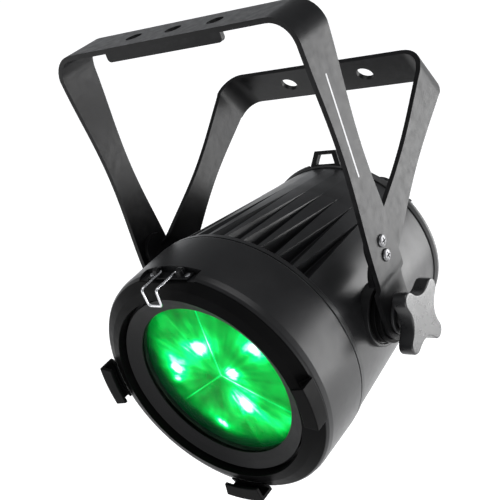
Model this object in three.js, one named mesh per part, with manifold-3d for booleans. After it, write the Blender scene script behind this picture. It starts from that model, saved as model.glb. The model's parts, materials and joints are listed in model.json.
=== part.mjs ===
// Par can light: a zoom LED wash light hanging in a fixed double bracket.
// Millimetres, +Z up. The origin is the middle clamp hole, on the top face of the front bracket.
// The tilt axis runs along X, and the lamp faces -Y.
import * as THREE from 'three';
import { mergeVertices } from 'three/addons/utils/BufferGeometryUtils.js';
import Module from 'manifold-3d';

const wasm = await Module();
wasm.setup();

// ---- driving dimensions ------------------------------------------------------------------
const GAP = 0.3;                    // clearance left between neighbouring pieces
const TILT_DROP = 244.8;            // clamp face down to the tilt axis
const PLATE = 4;                    // bracket sheet thickness
const STRIP_WIDTH = 37.4;           // bracket blank width at its ends
const WAIST_WIDTH = 25.2;           // bracket leg width at its middle
const BEND_RADIUS = 22;             // outer bend radius of both brackets
const CLAMP_HOLE_PITCH = 40;
const CLAMP_HOLE_RADIUS = 6.6;
const REAR_HOLE_RADIUS = 7.6;
const FLANGE_DROP = 11;             // depth of the stiffening flange along a crosspiece
const FLANGE_BULGE = 1.4;           // the rear flange's fold stands this far past the strip
const FLANGE_HALF = 56;
const FRONT_HALF = 116.8;           // outer half width over the front bracket
const FOOT_HALF = 112.5;            // outer half width over the feet
const REAR_HALF = 106.2;            // outer half width over the rear bracket
const CROSSING_HEIGHT = 38.1;       // both brackets' centre lines meet this far above the tilt axis
const REAR_LEAN = 1.035;            // rear bracket's angle back from vertical, radians
const REAR_REACH = 192.9;           // crossing to the rear crosspiece's outer face
const REAR_JOG = [16, 26];          // the rear legs step inwards over this span from the crossing
const PIVOT_HOLE_RADIUS = 5.4;

const SEAM_Y = -49.8;               // joint between bezel and housing
const BODY_RADIUS = 100;            // housing radius at the seam
const TAIL_Y = 115.6;               // rear end of the housing
const TAIL_RADIUS = 82.6;
const TAIL_DROP = 11.5;             // how far the tail's centre lies below the lamp axis
const BEZEL_RADIUS = 100.3;
const BEZEL_FRONT_Y = -101.3;
const RING_FRONT_Y = -108.9;
const CLIP_FRONT_Y = -116;
const CLIP_RADIUS = 101.2;
const CLIP_HALF_WIDTH = 18;
const POCKET_HALF = 27;             // latch pocket: half width, rear end and floor height
const POCKET_BACK_Y = -91;
const POCKET_FLOOR = 93.4;
const APERTURE_Y = -98.2;
const APERTURE_RADIUS = 67.5;
const LENS_RADIUS = 81.5;
const LENS_APEX_Y = -88.2;
const LENS_BACK_Y = -78.3;
const LENS_EDGE_Y = -85.4;          // the domed lens face, at its rim
const ROD_CIRCLE = 86.5;            // guide rods stand on this circle, outside the lens
const SCREW_CIRCLE = 71.5;          // lead screw and its motor, behind the lens
const ZOOM_TRAVEL = 22;
const BULKHEAD_FRONT_Y = -4.5;
const BULKHEAD_BACK_Y = 5.5;
const COVER_BACK_Y = 124;
const FIN_GROOVES = 12;             // grooves in the top field, and as many below
const FIN_PITCH = THREE.MathUtils.degToRad(8.8);

const RING_SIDES = 36;               // facets round every large ring

// ---- materials ---------------------------------------------------------------------------
const finish = (color, roughness, metalness = 0) => ({ color, roughness, metalness });
const BLACK_COAT = finish(0x1b1b1c, 0.5);
const SATIN_COAT = finish(0x2a2a2b, 0.4);
const BLACK_RUBBER = finish(0x101010, 0.85);
const BLACK_PLASTIC = finish(0x141415, 0.45);
const BRIGHT_STEEL = finish(0xc9c9cb, 0.25, 1);
const CLEAR_GLASS = finish(0xdfe8e4, 0.05);
const GREEN_LENS = finish(0x12c24a, 0.15);
const BOARD_GREEN = finish(0x11512f, 0.6);
const BRASS = finish(0xb08a3c, 0.35, 1);
const ALUMINIUM = finish(0xb4b6b8, 0.35, 1);
const WHITE_PLASTIC = finish(0xe9e9e4, 0.5);

// ---- solid helpers -----------------------------------------------------------------------
function toSolid(geometry) {
  const open = geometry.index ? geometry.toNonIndexed() : geometry.clone();
  open.deleteAttribute('normal');
  open.deleteAttribute('uv');
  const welded = mergeVertices(open, 1e-3);
  const corners = Array.from(welded.index.array);
  const points = welded.attributes.position;
  const kept = [];
  let volume = 0;
  const [a, b, c] = [new THREE.Vector3(), new THREE.Vector3(), new THREE.Vector3()];
  for (let i = 0; i < corners.length; i += 3) {
    const [p, q, r] = corners.slice(i, i + 3);
    if (p === q || q === r || r === p) continue;
    kept.push(p, q, r);
    a.fromBufferAttribute(points, p);
    b.fromBufferAttribute(points, q);
    c.fromBufferAttribute(points, r);
    volume += a.dot(b.cross(c));
  }
  if (volume < 0) kept.reverse();
  return new wasm.Manifold(new wasm.Mesh({
    numProp: 3,
    vertProperties: new Float32Array(points.array),
    triVerts: new Uint32Array(kept),
  }));
}

function toGeometry(solid) {
  const mesh = solid.getMesh();
  const geometry = new THREE.BufferGeometry();
  const points = Float32Array.from(mesh.vertProperties);
  geometry.setAttribute('position', new THREE.BufferAttribute(points, 3));
  geometry.setIndex(Array.from(mesh.triVerts));
  geometry.computeVertexNormals();
  return geometry;
}

const cut = (solid, tools) => tools.reduce((left, tool) => left.subtract(tool), solid);
const join = (solids) => solids.reduce((sum, solid) => sum.add(solid));

function addPiece(group, name, solid, look) {
  const mesh = new THREE.Mesh(toGeometry(solid), new THREE.MeshStandardMaterial(look));
  mesh.name = name;
  group.add(mesh);
  return mesh;
}

// A ring or disc about the lamp axis (Y), from [radius, y] corners.
function turned(profile, segments = RING_SIDES) {
  const points = profile.map(([radius, y]) => new THREE.Vector2(radius, y));
  points.push(points[0].clone());
  return toSolid(new THREE.LatheGeometry(points, segments));
}

function tube(outer, inner, yFront, yBack, segments = RING_SIDES) {
  return turned([[inner, yFront], [outer, yFront], [outer, yBack], [inner, yBack]], segments);
}

// A round bar along Y from yFront to yBack, centred on (x, z).
function barY(radius, yFront, yBack, x = 0, z = 0, segments = 12) {
  const bar = new THREE.CylinderGeometry(radius, radius, yBack - yFront, segments);
  return toSolid(bar.translate(x, (yFront + yBack) / 2, z));
}

// A round bar along X from x0 to x1, centred on (y, z).
function barX(radius, x0, x1, y = 0, z = 0, segments = 24) {
  const bar = new THREE.CylinderGeometry(radius, radius, Math.abs(x1 - x0), segments);
  bar.rotateZ(Math.PI / 2);
  return toSolid(bar.translate((x0 + x1) / 2, y, z));
}

function block(x0, x1, y0, y1, z0, z1) {
  const box = new THREE.BoxGeometry(x1 - x0, y1 - y0, z1 - z0);
  return toSolid(box.translate((x0 + x1) / 2, (y0 + y1) / 2, (z0 + z1) / 2));
}

const polar = (radius, degrees) => {
  const angle = THREE.MathUtils.degToRad(degrees);
  return [radius * Math.cos(angle), radius * Math.sin(angle)];
};

// Turns a solid made on the +X side of the lamp axis to another angle round it.
const aroundAxis = (solid, degrees) => solid.rotate([0, -degrees, 0]);

// ---- brackets ----------------------------------------------------------------------------
const FOOT_JOG_TOP = 34 - TILT_DROP;       // the front legs step inwards between these heights
const FOOT_JOG_BOTTOM = 28 - TILT_DROP;
const FOOT_BOTTOM = -TILT_DROP - STRIP_WIDTH / 2;
const WAIST_SPAN = 200;                    // length over which a leg narrows and widens again
const CUTTER_DEPTH = 260;                  // longer than the bracket is wide

// Front view of the front bracket: a U with a short inward step above each foot.
function frontBracketStrip() {
  const outline = (inset) => {
    const half = FRONT_HALF - inset;
    const foot = FOOT_HALF - inset;
    const bend = BEND_RADIUS - inset;
    return { half, foot, bend, top: -inset };
  };
  const outer = outline(0);
  const inner = outline(PLATE);
  const shape = new THREE.Shape();
  shape.moveTo(-outer.foot, FOOT_BOTTOM);
  shape.lineTo(-outer.foot, FOOT_JOG_BOTTOM);
  shape.lineTo(-outer.half, FOOT_JOG_TOP);
  shape.lineTo(-outer.half, -BEND_RADIUS);
  shape.absarc(-outer.half + outer.bend, -BEND_RADIUS, outer.bend, Math.PI, Math.PI / 2, true);
  shape.absarc(outer.half - outer.bend, -BEND_RADIUS, outer.bend, Math.PI / 2, 0, true);
  shape.lineTo(outer.half, FOOT_JOG_TOP);
  shape.lineTo(outer.foot, FOOT_JOG_BOTTOM);
  shape.lineTo(outer.foot, FOOT_BOTTOM);
  shape.lineTo(inner.foot, FOOT_BOTTOM);
  shape.lineTo(inner.foot, FOOT_JOG_BOTTOM);
  shape.lineTo(inner.half, FOOT_JOG_TOP);
  shape.lineTo(inner.half, -BEND_RADIUS);
  shape.absarc(inner.half - inner.bend, -BEND_RADIUS, inner.bend, 0, Math.PI / 2, false);
  shape.absarc(-inner.half + inner.bend, -BEND_RADIUS, inner.bend, Math.PI / 2, Math.PI, false);
  shape.lineTo(-inner.half, FOOT_JOG_TOP);
  shape.lineTo(-inner.foot, FOOT_JOG_BOTTOM);
  shape.lineTo(-inner.foot, FOOT_BOTTOM);
  return shape;
}

// Extrudes a front view (x, height) through the whole depth (y).
function throughDepth(shape, depth, curveSegments) {
  const slab = new THREE.ExtrudeGeometry(shape, { depth, bevelEnabled: false, curveSegments });
  slab.translate(0, 0, -depth / 2);
  return toSolid(slab.rotateX(Math.PI / 2));
}

// Extrudes a side view (y, height) through the whole width (x).
function throughWidth(shape, width, curveSegments) {
  const slab = new THREE.ExtrudeGeometry(shape, { depth: width, bevelEnabled: false, curveSegments });
  slab.translate(0, 0, -width / 2);
  slab.rotateY(Math.PI / 2);
  return toSolid(slab.rotateX(Math.PI / 2));
}

const waistHalf = (height) => {
  const middle = (STRIP_WIDTH + WAIST_WIDTH) / 4;
  const swing = (STRIP_WIDTH - WAIST_WIDTH) / 4;
  const phase = THREE.MathUtils.clamp(height / WAIST_SPAN, 0, 1) * 2 * Math.PI;
  return middle + swing * Math.cos(phase);
};

// Side view of a waisted leg: round foot at footHeight, crosspiece at reach.
function waistedLeg(reach, footHeight) {
  const STEPS = 8;
  const shape = new THREE.Shape();
  const half = STRIP_WIDTH / 2;
  shape.absarc(0, footHeight, half, Math.PI, 2 * Math.PI, false);
  for (let i = 0; i <= STEPS; i++) {
    const height = (WAIST_SPAN * i) / STEPS;
    shape.lineTo(waistHalf(height), height);
  }
  const top = Math.max(reach, WAIST_SPAN) + PLATE;
  shape.lineTo(half, top);
  shape.lineTo(-half, top);
  for (let i = STEPS; i >= 0; i--) {
    const height = (WAIST_SPAN * i) / STEPS;
    shape.lineTo(-waistHalf(height), height);
  }
  return shape;
}

// Drills the three clamp holes through a crosspiece whose outer face is at z = 0.
function drillCrosspiece(bracket, radius) {
  const holes = [-1, 0, 1].map((k) => {
    const drill = new THREE.CylinderGeometry(radius, radius, 30, 18);
    return toSolid(drill.rotateX(Math.PI / 2).translate(k * CLAMP_HOLE_PITCH, 0, 0));
  });
  return cut(bracket, holes);
}

const SCREW_HEIGHTS = [53, 65].map((above) => above - TILT_DROP);
const SCREW_HOLE_RADIUS = 2.7;
const screwHoles = () => SCREW_HEIGHTS.map((z) => barX(SCREW_HOLE_RADIUS, -130, 130, 0, z, 10));
const pivotHole = () => barX(PIVOT_HOLE_RADIUS, -130, 130, 0, -TILT_DROP, 14);

function frontBracket() {
  const strip = throughDepth(frontBracketStrip(), 60, 4);
  const crossing = CROSSING_HEIGHT - TILT_DROP;
  const side = waistedLeg(-crossing, -CROSSING_HEIGHT);
  const leg = throughWidth(side, CUTTER_DEPTH, 6).translate([0, 0, crossing]);
  // The stiffening flange folds down from the front edge.
  const edge = -STRIP_WIDTH / 2;
  const flange = block(-FLANGE_HALF, FLANGE_HALF, edge, edge + PLATE, -FLANGE_DROP, -PLATE / 2);
  const bracket = drillCrosspiece(strip.intersect(leg).add(flange), CLAMP_HOLE_RADIUS);
  return cut(bracket, [...screwHoles(), pivotHole()]);
}

// The rear bracket's strip, seen square to its width: feet flush behind the front legs,
// then a step inwards to the narrower legs. Heights run from the crossing to the crosspiece.
function rearBracketStrip() {
  const FOOT_END = -30;
  const [jogStart, jogEnd] = REAR_JOG;
  const foot = FOOT_HALF - GAP;
  const shape = new THREE.Shape();
  const outer = BEND_RADIUS;
  const inner = BEND_RADIUS - PLATE;
  const centre = REAR_HALF - BEND_RADIUS;
  const shoulder = REAR_REACH - BEND_RADIUS;
  shape.moveTo(-foot, FOOT_END);
  shape.lineTo(-foot, jogStart);
  shape.lineTo(-REAR_HALF, jogEnd);
  shape.lineTo(-REAR_HALF, shoulder);
  shape.absarc(-centre, shoulder, outer, Math.PI, Math.PI / 2, true);
  shape.absarc(centre, shoulder, outer, Math.PI / 2, 0, true);
  shape.lineTo(REAR_HALF, jogEnd);
  shape.lineTo(foot, jogStart);
  shape.lineTo(foot, FOOT_END);
  shape.lineTo(foot - PLATE, FOOT_END);
  shape.lineTo(foot - PLATE, jogStart);
  shape.lineTo(REAR_HALF - PLATE, jogEnd);
  shape.lineTo(REAR_HALF - PLATE, shoulder);
  shape.absarc(centre, shoulder, inner, 0, Math.PI / 2, false);
  shape.absarc(-centre, shoulder, inner, Math.PI / 2, Math.PI, false);
  shape.lineTo(-REAR_HALF + PLATE, jogEnd);
  shape.lineTo(-foot + PLATE, jogStart);
  shape.lineTo(-foot + PLATE, FOOT_END);
  return shape;
}

// Lays a solid made square to the rear bracket into its lean, about the crossing.
const leanBack = (solid) => solid
  .rotate([-THREE.MathUtils.radToDeg(REAR_LEAN), 0, 0])
  .translate([0, 0, CROSSING_HEIGHT - TILT_DROP]);

// Heights of the rear bracket's screw pads above the tilt axis, and their half width.
const PAD_BOTTOM = 37;
const PAD_TOP = 74;
const PAD_HALF = 13.5;

// Two vertical pads with rounded ends, lying behind the front bracket's legs.
function screwPads() {
  const outline = new THREE.Shape();
  outline.absarc(0, PAD_BOTTOM + PAD_HALF - TILT_DROP, PAD_HALF, Math.PI, 2 * Math.PI, false);
  outline.absarc(0, PAD_TOP - PAD_HALF - TILT_DROP, PAD_HALF, 0, Math.PI, false);
  const bar = throughWidth(outline, CUTTER_DEPTH, 5);
  const outer = FOOT_HALF - GAP;
  const pad = bar.intersect(block(outer - PLATE, outer, -20, 20, -TILT_DROP, 0));
  return join([pad, pad.mirror([1, 0, 0])]);
}

function rearBracket() {
  const strip = throughDepth(rearBracketStrip(), 110, 4);
  const leg = throughWidth(waistedLeg(REAR_REACH, -2), CUTTER_DEPTH, 6);
  // The stiffening flange folds outwards from the rear edge.
  const edge = STRIP_WIDTH / 2 + FLANGE_BULGE;
  const flange = block(-FLANGE_HALF, FLANGE_HALF, edge - PLATE, edge, -PLATE / 2, FLANGE_DROP - PLATE);
  const crosspiece = strip.intersect(leg).translate([0, 0, -REAR_REACH]).add(flange);
  const upper = leanBack(drillCrosspiece(crosspiece, REAR_HOLE_RADIUS).translate([0, 0, REAR_REACH]));
  const belowPads = block(-130, 130, -60, 60, -TILT_DROP - 40, PAD_BOTTOM - TILT_DROP);
  return cut(join([cut(upper, [belowPads]), screwPads()]), screwHoles());
}

// A pan-head cross-recess screw through a front leg into the rear bracket's foot.
function bracketScrew(side, z) {
  const HEAD_RADIUS = 5;
  const SHANK_RADIUS = 2.2;
  const face = FRONT_HALF + GAP / 3;
  const head = new THREE.SphereGeometry(HEAD_RADIUS, 10, 6);
  head.scale(0.5, 1, 1);
  const dome = toSolid(head.translate(face, 0, 0)).intersect(block(face, face + 4, -8, 8, -8, 8));
  const slots = [
    block(face + 1.2, face + 4, -3, 3, -0.6, 0.6),
    block(face + 1.2, face + 4, -0.6, 0.6, -3, 3),
  ];
  const shank = barX(SHANK_RADIUS, FOOT_HALF - GAP - PLATE - 2, face + 0.5, 0, 0, 8);
  const screw = cut(dome, slots).add(shank).translate([0, 0, z]);
  return side > 0 ? screw : screw.mirror([1, 0, 0]);
}

// ---- lamp body ---------------------------------------------------------------------------
const TAPER_LENGTH = TAIL_Y - SEAM_Y;
const bodyRadius = (y) => BODY_RADIUS + ((TAIL_RADIUS - BODY_RADIUS) * (y - SEAM_Y)) / TAPER_LENGTH;
const bodyDrop = (y) => (TAIL_DROP * (y - SEAM_Y)) / TAPER_LENGTH;

// Shears a solid of revolution so that its axis drops towards the tail.
function sheared(profile) {
  const points = profile.map(([radius, y]) => new THREE.Vector2(radius, y));
  points.push(points[0].clone());
  const skew = new THREE.Matrix4().set(1, 0, 0, 0, 0, 1, 0, 0, 0, -TAIL_DROP / TAPER_LENGTH, 1,
    (TAIL_DROP * SEAM_Y) / TAPER_LENGTH, 0, 0, 0, 1);
  return toSolid(new THREE.LatheGeometry(points, RING_SIDES).applyMatrix4(skew));
}

const COLLAR_BACK_Y = -45;
const CAVITY_RADIUS = 79.5;
const REAR_WALL = 7;

// One V groove, deepest just behind the collar and running out towards the tail.
function finGroove(angle) {
  const START_Y = COLLAR_BACK_Y;
  const END_Y = 62;
  const DEPTH = 12;
  const HALF_WIDTH = 6.2;
  const length = END_Y - START_Y;
  const wedge = new THREE.ConeGeometry(1, length, 4).scale(DEPTH, 1, HALF_WIDTH);
  wedge.translate(0, (START_Y + END_Y) / 2, 0);
  const onShell = (y) => [
    bodyRadius(y) * Math.cos(angle),
    bodyRadius(y) * Math.sin(angle) - bodyDrop(y),
  ];
  const start = onShell(START_Y);
  const end = onShell(END_Y);
  wedge.rotateY(-angle);
  const slope = [(end[0] - start[0]) / length, (end[1] - start[1]) / length];
  const lean = new THREE.Matrix4().set(
    1, slope[0], 0, start[0] - slope[0] * START_Y,
    0, 1, 0, 0,
    0, slope[1], 1, start[1] - slope[1] * START_Y,
    0, 0, 0, 1);
  return toSolid(wedge.applyMatrix4(lean));
}

const BOSS_RADIUS = 25;
const BOSS_FACE = 99.6;
const REAR_CAVITY_FRONT = bodyRadius(BULKHEAD_BACK_Y) - 16;
const REAR_CAVITY_BACK = TAIL_RADIUS - REAR_WALL;
const BEZEL_SCREW_ANGLES = [30, 150, 210, 330];
const BEZEL_SCREW_Y = -47.4;

function housing() {
  const frontY = SEAM_Y + GAP;
  const shell = sheared([
    [0, frontY], [BODY_RADIUS, frontY], [BODY_RADIUS - 0.2, COLLAR_BACK_Y],
    [BODY_RADIUS - 1.6, COLLAR_BACK_Y + 0.2], [bodyRadius(40) - 0.6, 40],
    [TAIL_RADIUS, TAIL_Y], [REAR_CAVITY_BACK, TAIL_Y], [REAR_CAVITY_FRONT, BULKHEAD_BACK_Y],
    [0, BULKHEAD_BACK_Y],
  ]);
  const frontCavity = barY(CAVITY_RADIUS, SEAM_Y - 5, BULKHEAD_FRONT_Y, 0, 0, RING_SIDES);
  const wireHole = barY(10, SEAM_Y, 20);
  const bosses = [-1, 1].map((s) => barX(BOSS_RADIUS, s * 84, s * BOSS_FACE, 0, 0, 28));
  const studHoles = [-1, 1].map((s) => barX(4.4, s * 82, s * 110, 0, 0, 20));
  const grooves = [];
  for (let i = 0; i < FIN_GROOVES; i++) {
    const angle = (i - (FIN_GROOVES - 1) / 2) * FIN_PITCH;
    grooves.push(finGroove(Math.PI / 2 + angle), finGroove(-Math.PI / 2 + angle));
  }
  const screwSeat = barX(2.2, 96.5, 110, BEZEL_SCREW_Y, 0, 16);
  const screwSeats = BEZEL_SCREW_ANGLES.map((angle) => aroundAxis(screwSeat, angle));
  const holes = [frontCavity, wireHole, ...studHoles, ...screwSeats, ...coverScrewHoles()];
  return cut(shell.add(join(bosses)), [...grooves, ...holes]);
}

function bezel() {
  const SPIGOT_RADIUS = 95.2;
  const WEB_BACK = -93.2;
  const WEB_FRONT = -97.2;
  const body = turned([
    [SPIGOT_RADIUS, SEAM_Y - GAP], [BEZEL_RADIUS - 0.6, SEAM_Y - GAP], [BEZEL_RADIUS, SEAM_Y - 1.4],
    [BEZEL_RADIUS, -95], [BEZEL_RADIUS - 0.8, -99.4], [98.1, BEZEL_FRONT_Y], [95.3, BEZEL_FRONT_Y],
    [95.3, WEB_FRONT], [82.1, WEB_FRONT], [82.1, WEB_BACK], [SPIGOT_RADIUS, WEB_BACK],
  ]);
  return cut(body, [latchPocket()]);
}

const latchPocket = () => block(-POCKET_HALF, POCKET_HALF, -130, POCKET_BACK_Y, POCKET_FLOOR, 120);

// Accessory ring: sloping shoulder and front face, open at the latch pocket.
function accessoryRing() {
  const backY = BEZEL_FRONT_Y - GAP;
  const ring = turned([
    [94.9, backY], [98, backY], [89.7, -106.2], [82.2, RING_FRONT_Y], [82.2, -97.6], [94.9, -97.6],
  ]);
  return cut(ring, [latchPocket()]);
}

// Hooked clip that holds a colour frame: a foot on the ring's shoulder, a wall and a lip.
const CLIP_ANGLES = { right: 0, left: 180, bottom: 270 };
const LIP_BACK_Y = -113.2;

function frameClip(angle) {
  const footBack = BEZEL_FRONT_Y - 0.6;
  const hook = turned([
    [92, -105.3], [98.2, footBack], [CLIP_RADIUS, footBack], [CLIP_RADIUS, CLIP_FRONT_Y],
    [89.5, CLIP_FRONT_Y], [89.5, LIP_BACK_Y], [98.4, LIP_BACK_Y], [98.45, -104.2], [92, -107.2],
  ]);
  const slice = block(60, 130, -130, -90, -CLIP_HALF_WIDTH, CLIP_HALF_WIDTH);
  return hook.intersect(aroundAxis(slice, angle));
}

const LATCH_AXIS = { y: -95.5, z: 98 };
const WIRE_RADIUS = 1.15;
const WIRE_ARM = 7;                 // half spacing of the latch wire's arms
const LATCH_LUG_X = 9.4;            // inner face of the lugs

// Pair of lugs on a small foot plate, screwed into the bezel's latch pocket.
function latchLugs() {
  const plate = block(-20, 20, POCKET_BACK_Y - 9.3, POCKET_BACK_Y - GAP,
    POCKET_FLOOR + GAP, POCKET_FLOOR + 2);
  const lug = (s) => {
    const x = [s * LATCH_LUG_X, s * (LATCH_LUG_X + 4)].sort((p, q) => p - q);
    const wall = block(x[0], x[1], LATCH_AXIS.y - 3.4, LATCH_AXIS.y + 3.4,
      POCKET_FLOOR + 1, LATCH_AXIS.z);
    return wall.add(barX(3.4, x[0], x[1], LATCH_AXIS.y, LATCH_AXIS.z, 20));
  };
  const bores = barX(WIRE_RADIUS + GAP, -30, 30, LATCH_AXIS.y, LATCH_AXIS.z, 12);
  return cut(join([plate, lug(-1), lug(1)]), [bores]);
}

// Closed spring-wire bail: both ends turn outwards into the lugs.
function latchWire() {
  const { y, z } = LATCH_AXIS;
  const FRONT_Y = -119.6;
  const NOSE_Z = 84.6;
  const corners = [
    [LATCH_LUG_X + 3.4, y, z], [WIRE_ARM, y, z], [WIRE_ARM, FRONT_Y, z],
    [WIRE_ARM - 1, FRONT_Y, NOSE_Z], [1 - WIRE_ARM, FRONT_Y, NOSE_Z],
    [-WIRE_ARM, FRONT_Y, z], [-WIRE_ARM, y, z], [-LATCH_LUG_X - 3.4, y, z],
  ].map((p) => new THREE.Vector3(...p));
  const ROUND = 1.8;
  const path = new THREE.CurvePath();
  let from = corners[0];
  for (let i = 1; i < corners.length - 1; i++) {
    const into = corners[i].clone().sub(from).setLength(ROUND);
    const out = corners[i + 1].clone().sub(corners[i]).setLength(ROUND);
    const start = corners[i].clone().sub(into);
    const end = corners[i].clone().add(out);
    path.add(new THREE.LineCurve3(from, start));
    path.add(new THREE.QuadraticBezierCurve3(start, corners[i], end));
    from = end;
  }
  path.add(new THREE.LineCurve3(from, corners.at(-1)));
  const section = new THREE.Shape();
  section.absarc(0, 0, WIRE_RADIUS, 0, 2 * Math.PI, false);
  const options = { steps: 44, extrudePath: path, curveSegments: 3 };
  return toSolid(new THREE.ExtrudeGeometry(section, options));
}

function trimRing() {
  const GLASS_SEAT = 76.6;
  return turned([
    [APERTURE_RADIUS, APERTURE_Y], [79.3, -103.4], [79.3, -98.5], [81.8, -98.5], [81.8, -92.9],
    [86, -92.9], [86, -90], [GLASS_SEAT, -90], [GLASS_SEAT, -97.2], [APERTURE_RADIUS + 0.4, -97.2],
  ]);
}

const SECTOR_SEAMS = [90, 210, 330];

// One 120 degree sector of the domed front lens.
function lensSector(fromDegrees) {
  const STEPS = 4;
  const profile = [[0, LENS_APEX_Y]];
  for (let i = 1; i <= STEPS; i++) {
    const share = i / STEPS;
    profile.push([LENS_RADIUS * share, LENS_APEX_Y + (LENS_EDGE_Y - LENS_APEX_Y) * share ** 2]);
  }
  profile.push([LENS_RADIUS, LENS_BACK_Y], [0, LENS_BACK_Y]);
  const points = profile.map(([radius, y]) => new THREE.Vector2(radius, y));
  const dome = toSolid(new THREE.LatheGeometry(points, RING_SIDES));
  const REACH = 150;
  const wedge = new THREE.Shape();
  const [x0, z0] = polar(REACH, fromDegrees);
  const [x1, z1] = polar(REACH, fromDegrees + 60);
  const [x2, z2] = polar(REACH, fromDegrees + 120);
  wedge.moveTo(0, 0);
  wedge.lineTo(x0, z0);
  wedge.lineTo(x1, z1);
  wedge.lineTo(x2, z2);
  const slab = throughDepth(wedge, 300, 1);
  const [dx, dz] = polar(GAP, fromDegrees + 60);
  return dome.intersect(slab.translate([dx, 0, dz]));
}

const ROD_ANGLES = [30, 150, 270];
const SCREW_ANGLE = 90;
const ROD_RADIUS = 2.5;
const ROD_FRONT = -89.7;
const ROD_BACK = SEAM_Y;
const CARRIAGE_FRONT = LENS_BACK_Y + GAP;
const CARRIAGE_THICKNESS = 4;
const SLEEVE_HOLE = 4.6;            // hole in the carriage for the nut's neck

// Flanged sleeve at (x, z), from the carriage's front face back to backY.
function sleeve(x, z, backY) {
  const flange = CARRIAGE_FRONT + CARRIAGE_THICKNESS + GAP;
  const bore = ROD_RADIUS + GAP;
  const neck = SLEEVE_HOLE - 0.4;
  return turned([
    [bore, CARRIAGE_FRONT], [neck, CARRIAGE_FRONT], [neck, flange],
    [5.8, flange], [5.8, backY], [bore, backY],
  ], 12).translate([x, 0, z]);
}

// Ring behind the lens that carries the three sectors, with a moulded guide for each rod.
function lensCarriage() {
  const plate = tube(92, 64, CARRIAGE_FRONT, CARRIAGE_FRONT + CARRIAGE_THICKNESS);
  const barAt = (radius, y0, y1, circle, angle) => (
    barY(radius, CARRIAGE_FRONT + y0, CARRIAGE_FRONT + y1, ...polar(circle, angle)));
  const guides = ROD_ANGLES.map((angle) => barAt(5.6, 1, 6, ROD_CIRCLE, angle));
  const bores = ROD_ANGLES.map((angle) => barAt(ROD_RADIUS + GAP, -2, 8, ROD_CIRCLE, angle));
  const nutHole = barAt(SLEEVE_HOLE, -2, 8, SCREW_CIRCLE, SCREW_ANGLE);
  return cut(join([plate, ...guides]), [...bores, nutHole]);
}

// ---- light engine ------------------------------------------------------------------------
const ENGINE_ANGLES = [30, 150, 270];
const ENGINE_CIRCLE = 26;
const BOARD_FRONT = BULKHEAD_FRONT_Y - GAP - 2;
const EMITTER_FRONT = BOARD_FRONT - GAP - 1.6;

function emitter(angle) {
  const [x, z] = polar(ENGINE_CIRCLE, angle);
  return block(x - 9, x + 9, EMITTER_FRONT, BOARD_FRONT - GAP, z - 9, z + 9);
}

// Tapered hexagonal light-mixing rod in front of each emitter.
function mixingRod(angle) {
  const [x, z] = polar(ENGINE_CIRCLE, angle);
  const back = EMITTER_FRONT - GAP;
  const rod = new THREE.CylinderGeometry(7.6, 11.5, 34, 6);
  rod.rotateZ(Math.PI);
  return toSolid(rod.translate(x, back - 17, z));
}

function rodHolder() {
  const FRONT_Y = -34;
  const THICKNESS = 3;
  const plate = barY(46, FRONT_Y, FRONT_Y + THICKNESS, 0, 0, 24);
  const windows = ENGINE_ANGLES.map((a) => {
    const [x, z] = polar(ENGINE_CIRCLE, a);
    return barY(12.6, FRONT_Y - 2, FRONT_Y + 6, x, z, 18);
  });
  const posts = [90, 210, 330].map((a) => barY(3, FRONT_Y + 1, BOARD_FRONT - GAP, ...polar(40, a), 8));
  return join([cut(plate, windows), ...posts]);
}

// ---- tilt joints -------------------------------------------------------------------------
// Four-armed hand knob with its stud and spacer, made on the +X side.
function tiltKnob() {
  const ARM_RADIUS = 31;
  const ARM_HALF = 6.5;
  const ARM_SWEEP = 1.35;
  const VALLEY = 17;
  const FACE_IN = 121;
  const FACE_OUT = 133;
  const star = new THREE.Shape();
  const FIRST_ARM = 30;
  for (let i = 0; i < 4; i++) {
    const middle = THREE.MathUtils.degToRad(FIRST_ARM + 90 * i);
    const centre = ARM_RADIUS - ARM_HALF;
    const tip = [centre * Math.cos(middle), centre * Math.sin(middle)];
    star.absarc(...tip, ARM_HALF, middle - ARM_SWEEP, middle + ARM_SWEEP, false);
    const valley = middle + Math.PI / 4;
    star.lineTo(VALLEY * Math.cos(valley), VALLEY * Math.sin(valley));
  }
  star.closePath();
  const thickness = FACE_OUT - FACE_IN;
  const options = { depth: thickness, bevelEnabled: false, curveSegments: 4 };
  const arms = new THREE.ExtrudeGeometry(star, options);
  arms.rotateX(Math.PI / 2);
  arms.rotateZ(-Math.PI / 2);
  arms.rotateX(Math.PI / 2);
  const handle = toSolid(arms);
  const box = handle.boundingBox();
  const placed = handle.translate([FACE_IN - box.min[0], 0, 0]);
  const hub = barX(12.5, FOOT_HALF + 3, FACE_IN + 1, 0, 0, 20);
  const stud = barX(4, 86, FACE_IN + 1, 0, 0, 12);
  return join([placed, hub, stud]);
}

const mirrorX = (solid) => solid.mirror([1, 0, 0]);

function pivotWasher(x0, x1, radius, bore) {
  return cut(barX(radius, x0, x1), [barX(bore, x0 - 1, x1 + 1, 0, 0, 12)]);
}

// ---- rear --------------------------------------------------------------------------------
const RIM_RADIUS = 84.5;
const RIM_Y = 119.5;
const COVER_INSIDE_Y = 120;
const LOOP_SEAT = 79;               // flat on the rim that the safety loop stands on
const tailShift = (solid) => solid.translate([0, 0, -TAIL_DROP]);
const PANEL_HALF = 25.5;
const WINDOW = { x: 20, z0: 22, z1: 40 };
const BUTTON_Z = 8;
const BUTTON_XS = [-18, -6, 6, 18];
const CONNECTORS = [
  { name: 'data_input', angle: 48, radius: 62 },
  { name: 'data_output', angle: 132, radius: 62 },
  { name: 'power_input', angle: 322, radius: 58 },
  { name: 'power_output', angle: 218, radius: 58 },
];
const COVER_SCREW_ANGLES = [30, 150, 270];
const COVER_SCREW_CIRCLE = 79;

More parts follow.
